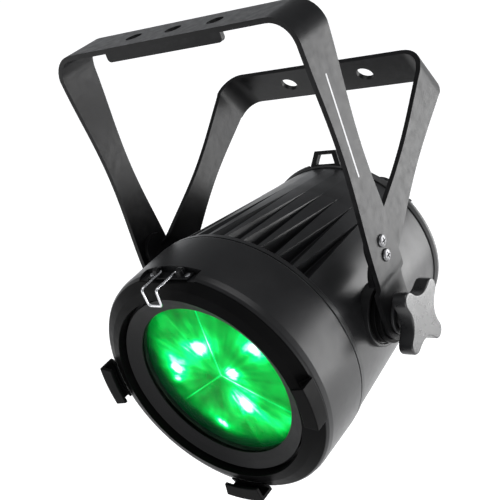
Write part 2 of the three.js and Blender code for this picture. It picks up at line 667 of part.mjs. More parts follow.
const coverScrewHoles = () => COVER_SCREW_ANGLES.map((angle) => {
  const [x, z] = polar(COVER_SCREW_CIRCLE, angle);
  return tailShift(barY(1.9, 106, 130, x, z, 8));
});

function rearCover() {
  const cover = turned([
    [0, COVER_INSIDE_Y], [72, COVER_INSIDE_Y], [72, TAIL_Y + 1.2],
    [RIM_RADIUS - 1.5, TAIL_Y + 1.2], [RIM_RADIUS, RIM_Y],
    [RIM_RADIUS, COVER_BACK_Y - 2], [RIM_RADIUS - 3, COVER_BACK_Y], [0, COVER_BACK_Y],
  ]);
  const window = block(-WINDOW.x, WINDOW.x, 110, 130, WINDOW.z0, WINDOW.z1);
  const panel = block(-PANEL_HALF, PANEL_HALF, COVER_BACK_Y - 1.4, 130, -2, 46);
  const buttonHoles = BUTTON_XS.map((x) => barY(4.4, 110, 130, x, BUTTON_Z, 14));
  const sockets = CONNECTORS.map(({ angle, radius }) => (
    barY(10.4, 110, 130, ...polar(radius, angle), 18)));
  const loopSeat = block(-17, 17, TAIL_Y + 2.7, 130, LOOP_SEAT, RIM_RADIUS + 5);
  const shaped = cut(cover, [window, panel, loopSeat, ...buttonHoles, ...sockets]);
  return cut(tailShift(shaped), coverScrewHoles());
}

function connector(angle, radius) {
  const [x, z] = polar(radius, angle);
  const back = COVER_BACK_Y + GAP;
  return tailShift(turned([
    [0, 104], [10, 104], [10, back], [15, back],
    [15, back + 12], [9.2, back + 12], [9.2, back + 2], [0, back + 2],
  ], 16).translate([x, 0, z]));
}

function coverScrew(angle) {
  const [x, z] = polar(COVER_SCREW_CIRCLE, angle);
  const head = barY(3.4, COVER_BACK_Y + GAP / 3, COVER_BACK_Y + 3, x, z, 12);
  const shank = barY(1.6, 107, COVER_BACK_Y + 1, x, z, 8);
  const socket = barY(1.6, COVER_BACK_Y + 1.2, COVER_BACK_Y + 5, x, z, 6);
  return tailShift(cut(join([head, shank]), [socket]));
}

function button(x) {
  const cap = turned([
    [0, 118.2], [5.2, 118.2], [5.2, 119.7], [4, 119.7], [4, 125.4], [0, 125.4],
  ], 12);
  return tailShift(cap.translate([x, 0, BUTTON_Z]));
}

function controlBoard() {
  const board = block(-PANEL_HALF, PANEL_HALF, 114, 115.6, -2, 46);
  const switches = BUTTON_XS.map((x) => block(x - 3, x + 3, 115, 116.8, BUTTON_Z - 3, BUTTON_Z + 3));
  return tailShift(join([board, ...switches]));
}

// Moulded eye for a safety wire, leaning back from the top of the rear cover.
function safetyLoop() {
  const BASE_HALF = 15.6;
  const TOP_HALF = 11;
  const HEIGHT = 13;
  const THICK = 5;
  const LEAN = 30;
  const loop = new THREE.Shape();
  loop.moveTo(-BASE_HALF, -1);
  loop.lineTo(BASE_HALF, -1);
  loop.lineTo(TOP_HALF, HEIGHT);
  loop.lineTo(-TOP_HALF, HEIGHT);
  const window = new THREE.Path();
  window.moveTo(-10, 1.2);
  window.lineTo(-7, HEIGHT - 3.2);
  window.lineTo(7, HEIGHT - 3.2);
  window.lineTo(10, 1.2);
  loop.holes.push(window);
  const eye = throughDepth(loop, THICK, 1).rotate([-LEAN, 0, 0]);
  const foot = block(-BASE_HALF, BASE_HALF, -4.4, 2.2, -2, 0);
  const aboveSeat = block(-20, 20, -20, 30, -2, 40);
  const seat = LOOP_SEAT - TAIL_DROP + GAP;
  return join([eye, foot]).intersect(aboveSeat).translate([0, 123.2, seat + 2]);
}

// ---- assembly -----------------------------------------------------------------------------
const lamp = new THREE.Group();
addPiece(lamp, 'front_bracket', frontBracket(), BLACK_COAT);
addPiece(lamp, 'rear_bracket', rearBracket(), BLACK_COAT);
for (const [label, side] of [['left', -1], ['right', 1]]) {
  SCREW_HEIGHTS.forEach((z, i) => {
    addPiece(lamp, `bracket_screw_${label}_${i + 1}`, bracketScrew(side, z), BRIGHT_STEEL);
  });
}

const head = new THREE.Group();
head.position.set(0, 0, -TILT_DROP);
lamp.add(head);
addPiece(head, 'housing', housing(), SATIN_COAT);
addPiece(head, 'bezel', bezel(), SATIN_COAT);
addPiece(head, 'bezel_gasket', tube(94.8, 92.8, SEAM_Y - 1.6, SEAM_Y), BLACK_RUBBER);
addPiece(head, 'accessory_ring', accessoryRing(), BLACK_COAT);
for (const [place, angle] of Object.entries(CLIP_ANGLES)) {
  addPiece(head, `frame_clip_${place}`, frameClip(angle), BLACK_COAT);
}
addPiece(head, 'trim_ring', trimRing(), BLACK_COAT);
addPiece(head, 'front_glass', barY(76.3, -96.9, -93.9, 0, 0, RING_SIDES), CLEAR_GLASS);
addPiece(head, 'glass_gasket', tube(76.3, 69, -93.6, -92.3), BLACK_RUBBER);
addPiece(head, 'glass_clamp_ring', tube(76.3, 69, -92, -90), BLACK_COAT);
addPiece(head, 'latch_lugs', latchLugs(), BLACK_COAT);
addPiece(head, 'latch_wire', latchWire(), BRIGHT_STEEL);
SECTOR_SEAMS.forEach((angle, i) => {
  addPiece(head, `lens_sector_${i + 1}`, lensSector(angle), GREEN_LENS);
});
addPiece(head, 'lens_carriage', lensCarriage(), BLACK_PLASTIC);
ROD_ANGLES.forEach((angle, i) => {
  const [x, z] = polar(ROD_CIRCLE, angle);
  addPiece(head, `guide_rod_${i + 1}`, barY(ROD_RADIUS, ROD_FRONT, ROD_BACK, x, z, 12), BRIGHT_STEEL);
});
const [screwX, screwZ] = polar(SCREW_CIRCLE, SCREW_ANGLE);
const MOTOR_BACK = BULKHEAD_FRONT_Y - GAP;
const MOTOR_FRONT = MOTOR_BACK - 18;
const SCREW_FRONT = LENS_BACK_Y + ZOOM_TRAVEL + 0.6;
const motorBody = barY(7.4, MOTOR_FRONT, MOTOR_BACK, screwX, screwZ, 16);
const motorBore = barY(3, MOTOR_FRONT - 1, MOTOR_FRONT + 5, screwX, screwZ);
const leadScrew = barY(ROD_RADIUS, SCREW_FRONT, MOTOR_FRONT + 4, screwX, screwZ);
addPiece(head, 'zoom_motor', cut(motorBody, [motorBore]), BLACK_COAT);
addPiece(head, 'zoom_lead_screw', leadScrew, BRIGHT_STEEL);
addPiece(head, 'zoom_nut', sleeve(screwX, screwZ, SCREW_FRONT + 5.7), BRASS);
addPiece(head, 'led_board', barY(62, BOARD_FRONT, BULKHEAD_FRONT_Y - GAP, 0, 0, 24), ALUMINIUM);
ENGINE_ANGLES.forEach((angle, i) => {
  addPiece(head, `led_emitter_${i + 1}`, emitter(angle), WHITE_PLASTIC);
  addPiece(head, `mixing_rod_${i + 1}`, mixingRod(angle), CLEAR_GLASS);
});
addPiece(head, 'rod_holder', rodHolder(), BLACK_PLASTIC);
addPiece(head, 'led_driver', block(-50, 50, BULKHEAD_BACK_Y + GAP, 42, -46, 24), ALUMINIUM);

const washer = pivotWasher(BOSS_FACE + GAP, FOOT_HALF - PLATE - GAP, 21.5, 4.6);
const spacer = pivotWasher(FOOT_HALF + GAP, FOOT_HALF + 2.7, 15, 4.6);
const knob = tiltKnob();
for (const [label, place] of [['left', mirrorX], ['right', (solid) => solid]]) {
  addPiece(head, `friction_washer_${label}`, place(washer), BLACK_RUBBER);
  addPiece(head, `knob_spacer_${label}`, place(spacer), BLACK_PLASTIC);
  addPiece(head, `tilt_knob_${label}`, place(knob), BLACK_PLASTIC);
}

const rearGasket = tailShift(tube(RIM_RADIUS - 2.6, 76, TAIL_Y + GAP / 2, TAIL_Y + 1));
addPiece(head, 'rear_gasket', cut(rearGasket, coverScrewHoles()), BLACK_RUBBER);
addPiece(head, 'rear_cover', rearCover(), BLACK_COAT);
const pane = block(-WINDOW.x + GAP, WINDOW.x - GAP, 118.5, 122.4, WINDOW.z0 + GAP, WINDOW.z1 - GAP);
addPiece(head, 'display_window', tailShift(pane), CLEAR_GLASS);
addPiece(head, 'control_board', controlBoard(), BOARD_GREEN);
BUTTON_XS.forEach((x, i) => addPiece(head, `button_${i + 1}`, button(x), BLACK_RUBBER));
CONNECTORS.forEach(({ name, angle, radius }) => {
  addPiece(head, name, connector(angle, radius), BLACK_PLASTIC);
});
COVER_SCREW_ANGLES.forEach((angle, i) => {
  addPiece(head, `cover_screw_${i + 1}`, coverScrew(angle), BRIGHT_STEEL);
});
addPiece(head, 'safety_loop', safetyLoop(), BLACK_COAT);

export default lamp;
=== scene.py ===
import json
import math

import bmesh
import bpy
from mathutils import Matrix, Vector


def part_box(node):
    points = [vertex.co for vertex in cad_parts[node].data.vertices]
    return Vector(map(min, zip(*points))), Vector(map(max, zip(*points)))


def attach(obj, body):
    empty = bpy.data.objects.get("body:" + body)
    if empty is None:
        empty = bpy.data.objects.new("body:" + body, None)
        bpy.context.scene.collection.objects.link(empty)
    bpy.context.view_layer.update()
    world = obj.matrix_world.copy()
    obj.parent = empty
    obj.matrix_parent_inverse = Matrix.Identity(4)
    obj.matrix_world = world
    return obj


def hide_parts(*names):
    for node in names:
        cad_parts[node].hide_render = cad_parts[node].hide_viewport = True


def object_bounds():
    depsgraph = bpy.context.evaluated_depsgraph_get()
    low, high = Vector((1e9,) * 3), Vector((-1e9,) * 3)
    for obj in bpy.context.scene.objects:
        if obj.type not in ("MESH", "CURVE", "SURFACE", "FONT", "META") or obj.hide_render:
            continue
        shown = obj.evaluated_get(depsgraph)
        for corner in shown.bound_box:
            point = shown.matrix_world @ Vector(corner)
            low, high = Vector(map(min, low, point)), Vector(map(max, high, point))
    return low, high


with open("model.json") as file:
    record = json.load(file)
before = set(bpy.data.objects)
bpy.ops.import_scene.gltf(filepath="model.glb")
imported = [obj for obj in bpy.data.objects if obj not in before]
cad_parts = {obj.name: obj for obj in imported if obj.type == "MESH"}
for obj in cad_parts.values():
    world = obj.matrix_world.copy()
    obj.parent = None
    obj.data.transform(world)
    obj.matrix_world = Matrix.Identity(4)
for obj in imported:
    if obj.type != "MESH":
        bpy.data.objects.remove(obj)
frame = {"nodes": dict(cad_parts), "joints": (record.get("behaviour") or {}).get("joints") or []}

CAD_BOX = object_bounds()

# ---- camera: the first thing made ----
camera_data = bpy.data.cameras.new("camera")
camera_data.lens = 69.2
camera_data.sensor_width = 36
camera_data.clip_end = 60
camera = bpy.data.objects.new("camera", camera_data)
bpy.context.scene.collection.objects.link(camera)
CAMERA_PLACE = Vector((0.4757, -0.5168, 0.12595))
CAMERA_VIEW = Vector((-0.6246, 0.6680, -0.4044)).normalized()
CAMERA_RIGHT = Vector((0.7809, 0.5308, -0.3293))
CAMERA_RIGHT = (CAMERA_RIGHT - CAMERA_VIEW * CAMERA_RIGHT.dot(CAMERA_VIEW)).normalized()
CAMERA_UP = CAMERA_RIGHT.cross(CAMERA_VIEW)
camera.matrix_world = Matrix.Translation(CAMERA_PLACE) @ Matrix(
    (CAMERA_RIGHT, CAMERA_UP, -CAMERA_VIEW)).transposed().to_4x4()
bpy.context.scene.camera = camera

# ---- the frame's measures, in millimetres ----
MM = 0.001
JOINTS = {joint["name"]: joint for joint in frame["joints"]}
TILT_Z = JOINTS["head_tilt"]["pos_m"][2] / MM          # height of the tilt axis in the row frame


def box(node):
    """A node's low and high corners in millimetres, with heights counted from the tilt axis."""
    return [[x / MM, y / MM, z / MM - TILT_Z] for x, y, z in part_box(node)]


def centre_of(node):
    low, high = box(node)
    return [(a + b) / 2 for a, b in zip(low, high)]


# ---- materials ----
def nodes_of(name):
    material = bpy.data.materials.new(name)
    material.use_nodes = True
    tree = material.node_tree
    return material, tree, tree.nodes["Principled BSDF"]


def add(tree, kind, **values):
    node = tree.nodes.new(kind)
    for key, value in values.items():
        if key in node.inputs:
            node.inputs[key].default_value = value
        else:
            setattr(node, key, value)
    return node


def noise(tree, size, detail=3.0, roughness=0.55, stretch=(1, 1, 1)):
    """Noise whose features are about `size` millimetres across."""
    where = add(tree, "ShaderNodeTexCoord")
    mapping = add(tree, "ShaderNodeMapping", Scale=stretch)
    texture = add(tree, "ShaderNodeTexNoise", Scale=1 / (size * MM), Detail=detail, Roughness=roughness)
    tree.links.new(where.outputs["Object"], mapping.inputs["Vector"])
    tree.links.new(mapping.outputs["Vector"], texture.inputs["Vector"])
    return texture.outputs["Fac"]


def spread_over(tree, value, low, high, at=(0.3, 0.7)):
    """The part of a value between `at`, spread over low to high."""
    node = add(tree, "ShaderNodeMapRange",
               **{"From Min": at[0], "From Max": at[1], "To Min": low, "To Max": high})
    tree.links.new(value, node.inputs["Value"])
    return node.outputs["Result"]


def mix(tree, factor, first, second):
    node = add(tree, "ShaderNodeMix", data_type="RGBA")
    for socket, value in ((node.inputs[0], factor), (node.inputs[6], first), (node.inputs[7], second)):
        if isinstance(value, bpy.types.NodeSocket):
            tree.links.new(value, socket)
        elif isinstance(value, (int, float)):
            socket.default_value = value
        else:
            socket.default_value = (*value, 1)
    return node.outputs[2]


def maths(tree, operation, first, second=None):
    """One Math node fed by sockets or plain numbers."""
    node = add(tree, "ShaderNodeMath", operation=operation)
    for socket, value in zip(node.inputs, (first, second)):
        if isinstance(value, bpy.types.NodeSocket):
            tree.links.new(value, socket)
        elif value is not None:
            socket.default_value = value
    return node.outputs[0]


def finish(name, color, rough, metal=0.0, grain=0.9, bump=0.06, strength=0.35, drift=0.07, dust=1.6,
           worn=None, wear=0.0, specular=0.5, stretch=(1, 1, 1), coat=0.0):
    """A surface with grain, patchy roughness, a little dust, and rubbed edges."""
    material, tree, shader = nodes_of(name)
    fine = noise(tree, grain, 4.0, 0.6, stretch)
    broad = noise(tree, 38, 3.0)
    patch = noise(tree, 7, 5.0, 0.65)
    shade = mix(tree, spread_over(tree, broad, 0, 1), color, [channel * dust for channel in color])
    if wear:
        shape = add(tree, "ShaderNodeNewGeometry")
        edge = spread_over(tree, shape.outputs["Pointiness"], 0, wear, (0.52, 0.62))
        rubbed = maths(tree, "MULTIPLY", edge, spread_over(tree, patch, 0, 1, (0.42, 0.66)))
        shade = mix(tree, rubbed, shade, worn or [channel * 5 for channel in color])
    tree.links.new(shade, shader.inputs["Base Color"])
    tree.links.new(spread_over(tree, patch, rough - drift, rough + drift), shader.inputs["Roughness"])
    relief = add(tree, "ShaderNodeBump", Strength=strength, Distance=bump * MM)
    tree.links.new(fine, relief.inputs["Height"])
    tree.links.new(relief.outputs["Normal"], shader.inputs["Normal"])
    shader.inputs["Metallic"].default_value = metal
    shader.inputs["Specular IOR Level"].default_value = specular
    shader.inputs["Coat Weight"].default_value = coat
    return material


SATIN_COAT = finish("satin_coat", (0.008, 0.008, 0.0085), 0.33, grain=0.8, bump=0.04, drift=0.03,
                    wear=0.2, specular=0.22)
BLACK_COAT = finish("black_coat", (0.004, 0.004, 0.0043), 0.36, grain=0.7, bump=0.05, wear=0.5, specular=0.13)
# A darker, duller copy of the black coat: painted shade, used on the front ring, its hooks and the pivot
# washers.
RING_COAT_PAINTED_SHADE = finish("ring_coat_painted_shade", (0.0025, 0.0025, 0.0026), 0.36, grain=0.7, bump=0.05, wear=0.4,
                   specular=0.03)
COVER_COAT = finish("cover_coat", (0.012, 0.012, 0.0125), 0.5, grain=0.6, bump=0.07, wear=0.3)
KNOB_PLASTIC = finish("knob_plastic", (0.008, 0.008, 0.0085), 0.3, grain=0.35, bump=0.03, wear=0.1,
                      specular=0.5)
PLASTIC = finish("black_plastic", (0.011, 0.011, 0.012), 0.42, grain=0.35, bump=0.03, wear=0.2)
RUBBER = finish("black_rubber", (0.008, 0.008, 0.008), 0.72, grain=0.5, bump=0.05, specular=0.3)
STEEL = finish("bright_steel", (0.62, 0.62, 0.64), 0.22, 1.0, grain=0.5, bump=0.01, strength=0.2, dust=0.8,
               stretch=(1, 6, 1))
SCREW_STEEL = finish("screw_steel", (0.13, 0.13, 0.135), 0.3, 1.0, grain=0.5, bump=0.02, dust=0.7,
                     worn=(0.7, 0.7, 0.72), wear=0.9)
BRASS = finish("brass", (0.55, 0.38, 0.12), 0.3, 1.0, grain=0.4, bump=0.01, dust=0.7)
ALUMINIUM = finish("aluminium", (0.55, 0.56, 0.57), 0.35, 1.0, grain=0.4, bump=0.01, dust=0.8,
                   stretch=(8, 1, 1))
BOARD = finish("board_green", (0.012, 0.075, 0.03), 0.45, grain=2.2, bump=0.02, dust=0.5, coat=0.3)
# Pale grey of the painted highlight on the front bracket's legs.
LEG_HIGHLIGHT_PAINT = finish("painted_leg_highlight", (0.42, 0.42, 0.43), 0.5, grain=0.3, bump=0.01, dust=0.85)


def clear_glass(name, tint):
    material, tree, shader = nodes_of(name)
    smear = noise(tree, 14, 4.0)
    tree.links.new(spread_over(tree, smear, 0.0, 0.05), shader.inputs["Roughness"])
    tree.links.new(mix(tree, spread_over(tree, smear, 0, 1), tint, [c * 0.96 for c in tint]),
                   shader.inputs["Base Color"])
    shader.inputs["Transmission Weight"].default_value = 1.0
    shader.inputs["IOR"].default_value = 1.05
    shader.inputs["Specular IOR Level"].default_value = 0.1
    return material


GLASS = clear_glass("clear_glass", (0.97, 1.0, 0.98))


def glowing_lens():
    """Green light, with a white core and a halo at each bright spot, and rays from the middle."""
    material, tree, shader = nodes_of("green_lens")
    where = add(tree, "ShaderNodeTexCoord")

    def math_node(operation, first, second=None):
        return maths(tree, operation, first, second)

    def falloff(value, size, power):
        node = add(tree, "ShaderNodeMapRange", interpolation_type="SMOOTHERSTEP",
                   **{"From Min": 0.0, "From Max": size * MM, "To Min": power, "To Max": 0.0})
        tree.links.new(value, node.inputs["Value"])
        return node.outputs["Result"]

    # Offsets from the lamp axis, and the same squeezed onto a unit circle for the radial streaks.
    centred = add(tree, "ShaderNodeVectorMath", operation="SUBTRACT")
    tree.links.new(where.outputs["Object"], centred.inputs[0])
    centred.inputs[1].default_value = (0, LENS_MIDDLE_Y * MM, TILT_Z * MM)
    flat = add(tree, "ShaderNodeVectorMath", operation="MULTIPLY")
    tree.links.new(centred.outputs[0], flat.inputs[0])
    flat.inputs[1].default_value = (1, 0, 1)
    parts = add(tree, "ShaderNodeSeparateXYZ")
    tree.links.new(flat.outputs[0], parts.inputs[0])
    x, z = parts.outputs["X"], parts.outputs["Z"]

    # (angle, radius, core size, core power, halo size, halo power), millimetres.
    spots = [(115, 28, 10, 0.75, 32, 0.55), (177, 46, 8, 0.75, 26, 0.5), (31, 50, 8, 0.8, 26, 0.5),
             (15, 12, 9, 0.75, 22, 0.42), (-66, 31, 10, 0.75, 30, 0.55), (-113, 56, 8, 0.85, 26, 0.55),
             (189, 51, 6, 0.4, 12, 0.15), (-44, 60, 3, 0.0, 26, 0.22), (140, 62, 3, 0.0, 30, 0.2)]
    total = None
    for degrees, radius, core, power, halo, strength in spots:
        angle = math.radians(degrees)
        near = add(tree, "ShaderNodeVectorMath", operation="DISTANCE")
        tree.links.new(flat.outputs[0], near.inputs[0])
        near.inputs[1].default_value = (radius * math.cos(angle) * MM, 0, radius * math.sin(angle) * MM)
        glow = falloff(near.outputs["Value"], halo, strength)
        if power:
            glow = math_node("ADD", glow, falloff(near.outputs["Value"], core, power))
        total = glow if total is None else math_node("ADD", total, glow)

    toward = add(tree, "ShaderNodeVectorMath", operation="NORMALIZE")
    tree.links.new(flat.outputs[0], toward.inputs[0])
    streaks = add(tree, "ShaderNodeTexNoise", Scale=9.0, Detail=3.0, Roughness=0.6)
    tree.links.new(toward.outputs[0], streaks.inputs["Vector"])
    patches = spread_over(tree, noise(tree, 26, 4.0, 0.55), 0.42, 1.25)
    rays = spread_over(tree, streaks.outputs["Fac"], 0.78, 1.18)
    light_field = math_node("MULTIPLY", math_node("ADD", total, 0.33), math_node("MULTIPLY", patches, rays))

    # The lower left rim of the lens falls off into the dark.
    distance = add(tree, "ShaderNodeVectorMath", operation="DISTANCE")
    tree.links.new(flat.outputs[0], distance.inputs[0])
    distance.inputs[1].default_value = (0.008, 0, 0.009)
    rim = add(tree, "ShaderNodeMapRange", interpolation_type="SMOOTHERSTEP",
              **{"From Min": 0.058, "From Max": 0.084, "To Min": 1.0, "To Max": 0.08})
    tree.links.new(distance.outputs["Value"], rim.inputs["Value"])
    light_field = math_node("MULTIPLY", light_field, rim.outputs["Result"])

    # Fine bright lines where the three sectors meet.
    for degrees in (90, 210, 330):
        angle = math.radians(degrees)
        across = math_node("ABSOLUTE", math_node("SUBTRACT", math_node("MULTIPLY", z, math.cos(angle)),
                                                 math_node("MULTIPLY", x, math.sin(angle))))
        along = math_node("ADD", math_node("MULTIPLY", x, math.cos(angle)),
                          math_node("MULTIPLY", z, math.sin(angle)))
        line = math_node("MULTIPLY", falloff(across, 0.9, 0.30), math_node("GREATER_THAN", along, 0.0))
        light_field = math_node("ADD", light_field, math_node("MULTIPLY", line, rim.outputs["Result"]))

    ramp = add(tree, "ShaderNodeValToRGB")
    stops = [(0.0, (0.0, 0.004, 0.001)), (0.10, (0.0, 0.05, 0.006)), (0.26, (0.0, 0.26, 0.02)),
             (0.46, (0.0, 0.62, 0.07)), (0.68, (0.0, 0.98, 0.30)), (0.86, (0.45, 1.0, 0.86)),
             (1.0, (1.0, 1.0, 1.0))]
    while len(ramp.color_ramp.elements) < len(stops):
        ramp.color_ramp.elements.new(0.5)
    for element, (position, shade) in zip(ramp.color_ramp.elements, stops):
        element.position = position
        element.color = (*shade, 1)
    tree.links.new(light_field, ramp.inputs["Fac"])
    tree.links.new(ramp.outputs["Color"], shader.inputs["Emission Color"])
    shader.inputs["Emission Strength"].default_value = 1.4
    tree.links.new(mix(tree, patches, (0.0, 0.004, 0.001), (0.0, 0.012, 0.003)), shader.inputs["Base Color"])
    tree.links.new(spread_over(tree, noise(tree, 6), 0.10, 0.2), shader.inputs["Roughness"])
    shader.inputs["Specular IOR Level"].default_value = 0.04
    return material


LENS_MIDDLE_Y = centre_of("lens_sector_1")[1]
LENS = glowing_lens()


def glowing_emitter():
    material, tree, shader = nodes_of("emitter")
    die = noise(tree, 1.5, 2.0)
    tree.links.new(mix(tree, spread_over(tree, die, 0, 1), (0.1, 0.8, 0.3), (0.5, 1.0, 0.7)),
                   shader.inputs["Emission Color"])
    tree.links.new(spread_over(tree, die, 0.3, 0.5), shader.inputs["Roughness"])
    shader.inputs["Emission Strength"].default_value = 2.0
    return material


def dark_display():
    material, tree, shader = nodes_of("display")
    pane = noise(tree, 9, 3.0)
    tree.links.new(mix(tree, spread_over(tree, pane, 0, 1), (0.004, 0.006, 0.008), (0.008, 0.012, 0.016)),
                   shader.inputs["Base Color"])
    tree.links.new(spread_over(tree, pane, 0.05, 0.12), shader.inputs["Roughness"])
    shader.inputs["Coat Weight"].default_value = 0.5
    return material


EMITTER = glowing_emitter()
DISPLAY = dark_display()


# ---- mesh helpers: points in millimetres, heights from the tilt axis ----
SHARP = 38                                             # steeper edges, in degrees, stay hard
WELD = 1e-6                                            # points closer than this, in metres, are one


def piece(name, points, faces, body, material, *nodes, slot=None, sharp=SHARP):
    """Makes a named piece that rides on a body and stands for the CAD nodes given."""
    mesh = bpy.data.meshes.new(name)
    mesh.from_pydata([(x * MM, y * MM, (z + TILT_Z) * MM) for x, y, z in points], [], faces)
    made = bpy.data.objects.new(name, mesh)
    bpy.context.scene.collection.objects.link(made)
    tidy(made, sharp)
    mesh.materials.append(material)
    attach(made, body)
    if nodes:
        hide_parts(*nodes)
    return made


def tidy(made, sharp=SHARP, weld=WELD):
    """Welds the points, turns the faces outwards and shades smooth between the hard edges."""
    work = bmesh.new()
    work.from_mesh(made.data)
    bmesh.ops.remove_doubles(work, verts=work.verts, dist=weld)
    bmesh.ops.dissolve_degenerate(work, edges=work.edges, dist=weld)
    bmesh.ops.recalc_face_normals(work, faces=work.faces)
    for face in work.faces:
        face.smooth = True
    for edge in work.edges:
        if len(edge.link_faces) == 2:
            edge.smooth = edge.calc_face_angle(0) < math.radians(sharp)
    work.to_mesh(made.data)
    work.free()


def lathe(profile, segments=144, centre=(0, 0), axis="Y", arc=None):
    """A closed ring from (radius, place) corners about Y or X, or a capped part of it between arc degrees."""
    points, faces = [], []
    count = len(profile)
    full = arc is None
    start, stop = (0, 360) if full else arc
    columns = segments if full else segments + 1
    for i in range(columns):
        angle = math.radians(start + (stop - start) * i / segments)
        for radius, place in profile:
            a, b = radius * math.cos(angle) + centre[0], radius * math.sin(angle) + centre[1]
            points.append((a, place, b) if axis == "Y" else (place, a, b))
    for i in range(segments):
        j = (i + 1) % columns
        for k in range(count):
            l = (k + 1) % count
            faces.append((i * count + k, j * count + k, j * count + l, i * count + l))
    if not full:
        faces.append(tuple(range(count)))
        faces.append(tuple(range((columns - 1) * count, columns * count))[::-1])
    return points, faces


def eased(start, corner, stop, steps):
    """Points of a smooth turn from start to stop, pulled towards the corner."""
    points = []
    for k in range(steps + 1):
        t = k / steps
        points.append(start * (1 - t) ** 2 + corner * 2 * t * (1 - t) + stop * t ** 2)
    return points


def rounded(profile, radius=0.6, steps=3):
    """The same closed outline with its corners, except those on the axis, turned over a small radius."""
    result = []
    for i, corner in enumerate(profile):
        here = Vector(corner)
        if abs(corner[0]) < 1e-6:
            result.append(tuple(here))
            continue
        before, after = Vector(profile[i - 1]), Vector(profile[(i + 1) % len(profile)])
        back = min(radius, (before - here).length * 0.45)
        ahead = min(radius, (after - here).length * 0.45)
        p, q = here + (before - here).normalized() * back, here + (after - here).normalized() * ahead
        result += [tuple(point) for point in eased(p, here, q, steps)]
    return result


def joined(*parts):
    points, faces = [], []
    for part_points, part_faces in parts:
        base = len(points)
        points.extend(part_points)
        faces.extend(tuple(index + base for index in face) for face in part_faces)
    return points, faces


def block(x0, x1, y0, y1, z0, z1):
    points = [(x, y, z) for x in (x0, x1) for y in (y0, y1) for z in (z0, z1)]
    faces = [(0, 1, 3, 2), (4, 6, 7, 5), (0, 4, 5, 1), (2, 3, 7, 6), (0, 2, 6, 4), (1, 5, 7, 3)]
    return points, faces


def prism(outline, low, high, axis="X"):
    """A flat plate with an outline in the other two directions."""
    count = len(outline)
    points = []
    for place in (low, high):
        for a, b in outline:
            points.append((place, a, b) if axis == "X" else (a, place, b))
    faces = [tuple(range(count)), tuple(range(count, 2 * count))[::-1]]
    for i in range(count):
        j = (i + 1) % count
        faces.append((i, j, j + count, i + count))
    return points, faces


def sweep(path, radius):
    """A round wire along a path of points, capped at both ends."""
    points, faces = [], []
    sides = 16
    side = None
    for i, here in enumerate(path):
        tangent = (path[min(i + 1, len(path) - 1)] - path[max(i - 1, 0)]).normalized()
        if side is None:
            side = tangent.orthogonal().normalized()
        side = (side - tangent * side.dot(tangent)).normalized()
        other = tangent.cross(side)
        for k in range(sides):
            angle = 2 * math.pi * k / sides
            points.append(tuple(here + side * radius * math.cos(angle) + other * radius * math.sin(angle)))
    for i in range(len(path) - 1):
        for k in range(sides):
            l = (k + 1) % sides
            faces.append((i * sides + k, (i + 1) * sides + k, (i + 1) * sides + l, i * sides + l))
    faces.append(tuple(range(sides)))
    faces.append(tuple(range((len(path) - 1) * sides, len(path) * sides))[::-1])
    return points, faces


def bent(corners, radius):
    """A polyline with its corners turned over a bend radius."""
    corners = [Vector(corner) for corner in corners]
    path = [corners[0]]
    for before, here, after in zip(corners, corners[1:], corners[2:]):
        p = here + (before - here).normalized() * radius
        q = here + (after - here).normalized() * radius
        path += eased(p, here, q, 6)
    path.append(corners[-1])
    return path


def carve(made, cutters, operation="DIFFERENCE"):
    """Cuts with closed shapes, or joins them on."""
    for points, faces in cutters:
        mesh = bpy.data.meshes.new("tool")
        mesh.from_pydata([(x * MM, y * MM, z * MM) for x, y, z in points], [], faces)
        tool = bpy.data.objects.new("tool", mesh)
        bpy.context.scene.collection.objects.link(tool)
        tidy(tool)
        change = made.modifiers.new("cut", "BOOLEAN")
        change.operation = operation
        change.solver = "EXACT"
        change.object = tool
        settle(made)
        bpy.data.objects.remove(tool)
        bpy.data.meshes.remove(mesh)


def settle(made):
    """Applies the piece's modifiers to its mesh."""
    deps = bpy.context.evaluated_depsgraph_get()
    mesh = bpy.data.meshes.new_from_object(made.evaluated_get(deps))
    old = made.data
    made.modifiers.clear()
    made.data = mesh
    bpy.data.meshes.remove(old)


def soften(made, width=0.5, segments=2, angle=32):
    """Rounds the hard edges and evens the shading of the flats."""
    tidy(made)
    edge = made.modifiers.new("edge", "BEVEL")
    edge.width = width * MM
    edge.segments = segments
    edge.limit_method = "ANGLE"
    edge.angle_limit = math.radians(angle)
    edge.use_clamp_overlap = True
    settle(made)
    tidy(made, weld=WELD / 10)
    even(made)
    return made


def even(made):
    """Lets the large flat faces set the shading."""
    normal = made.modifiers.new("normals", "WEIGHTED_NORMAL")
    normal.keep_sharp = True
    normal.weight = 60
    settle(made)
    return made


def lifted(part, rise):
    return [(x, y, z + rise) for x, y, z in part[0]], part[1]


def row(part):
    """Tilt-axis heights to row heights, for cutters."""
    return lifted(part, TILT_Z)


def mirrored(part):
    return [(-x, y, z) for x, y, z in part[0]], [face[::-1] for face in part[1]]


# ---- brackets ----
PLATE = 4.0                                       # thickness of the bent strip
STRIP_HALF = 18.7                                 # half its width at the ends
WAIST_HALF = 12.6                                 # and at the middle of a leg
CROSSING = 38.1                                   # height at which the two brackets cross
WAIST_SPAN = 200.0
BEND = 22.0                                       # outer radius of the top corners
TOP = -TILT_Z                                     # clamp face above the tilt axis
FRONT_HALF = box("front_bracket")[1][0]
REAR_HALF = 106.2
FOOT = 112.5                                      # outer face of the front bracket's feet
REAR_FOOT = FOOT - 0.3
FRONT_JOG = (27, 36)                              # heights between which a leg steps out to its foot
REAR_JOG = (16, 26)
REAR_LEAN = 1.035                                 # radians from upright
REAR_REACH = 192.9                                # clamp face from the crossing
REAR_START = -2                                   # bottom of the rear strip, before it is cut off
REAR_CUT = 37                                     # height below which only the screw pads are left
CLAMP_SPACING = 40
FRONT_HOLE, REAR_HOLE, PIVOT_HOLE = 6.6, 7.6, 5.4
LIP_HALF = 56                                     # half the length of the folded lip
REAR_BULGE = 1.4                                  # how far the rear lip stands past the strip's edge
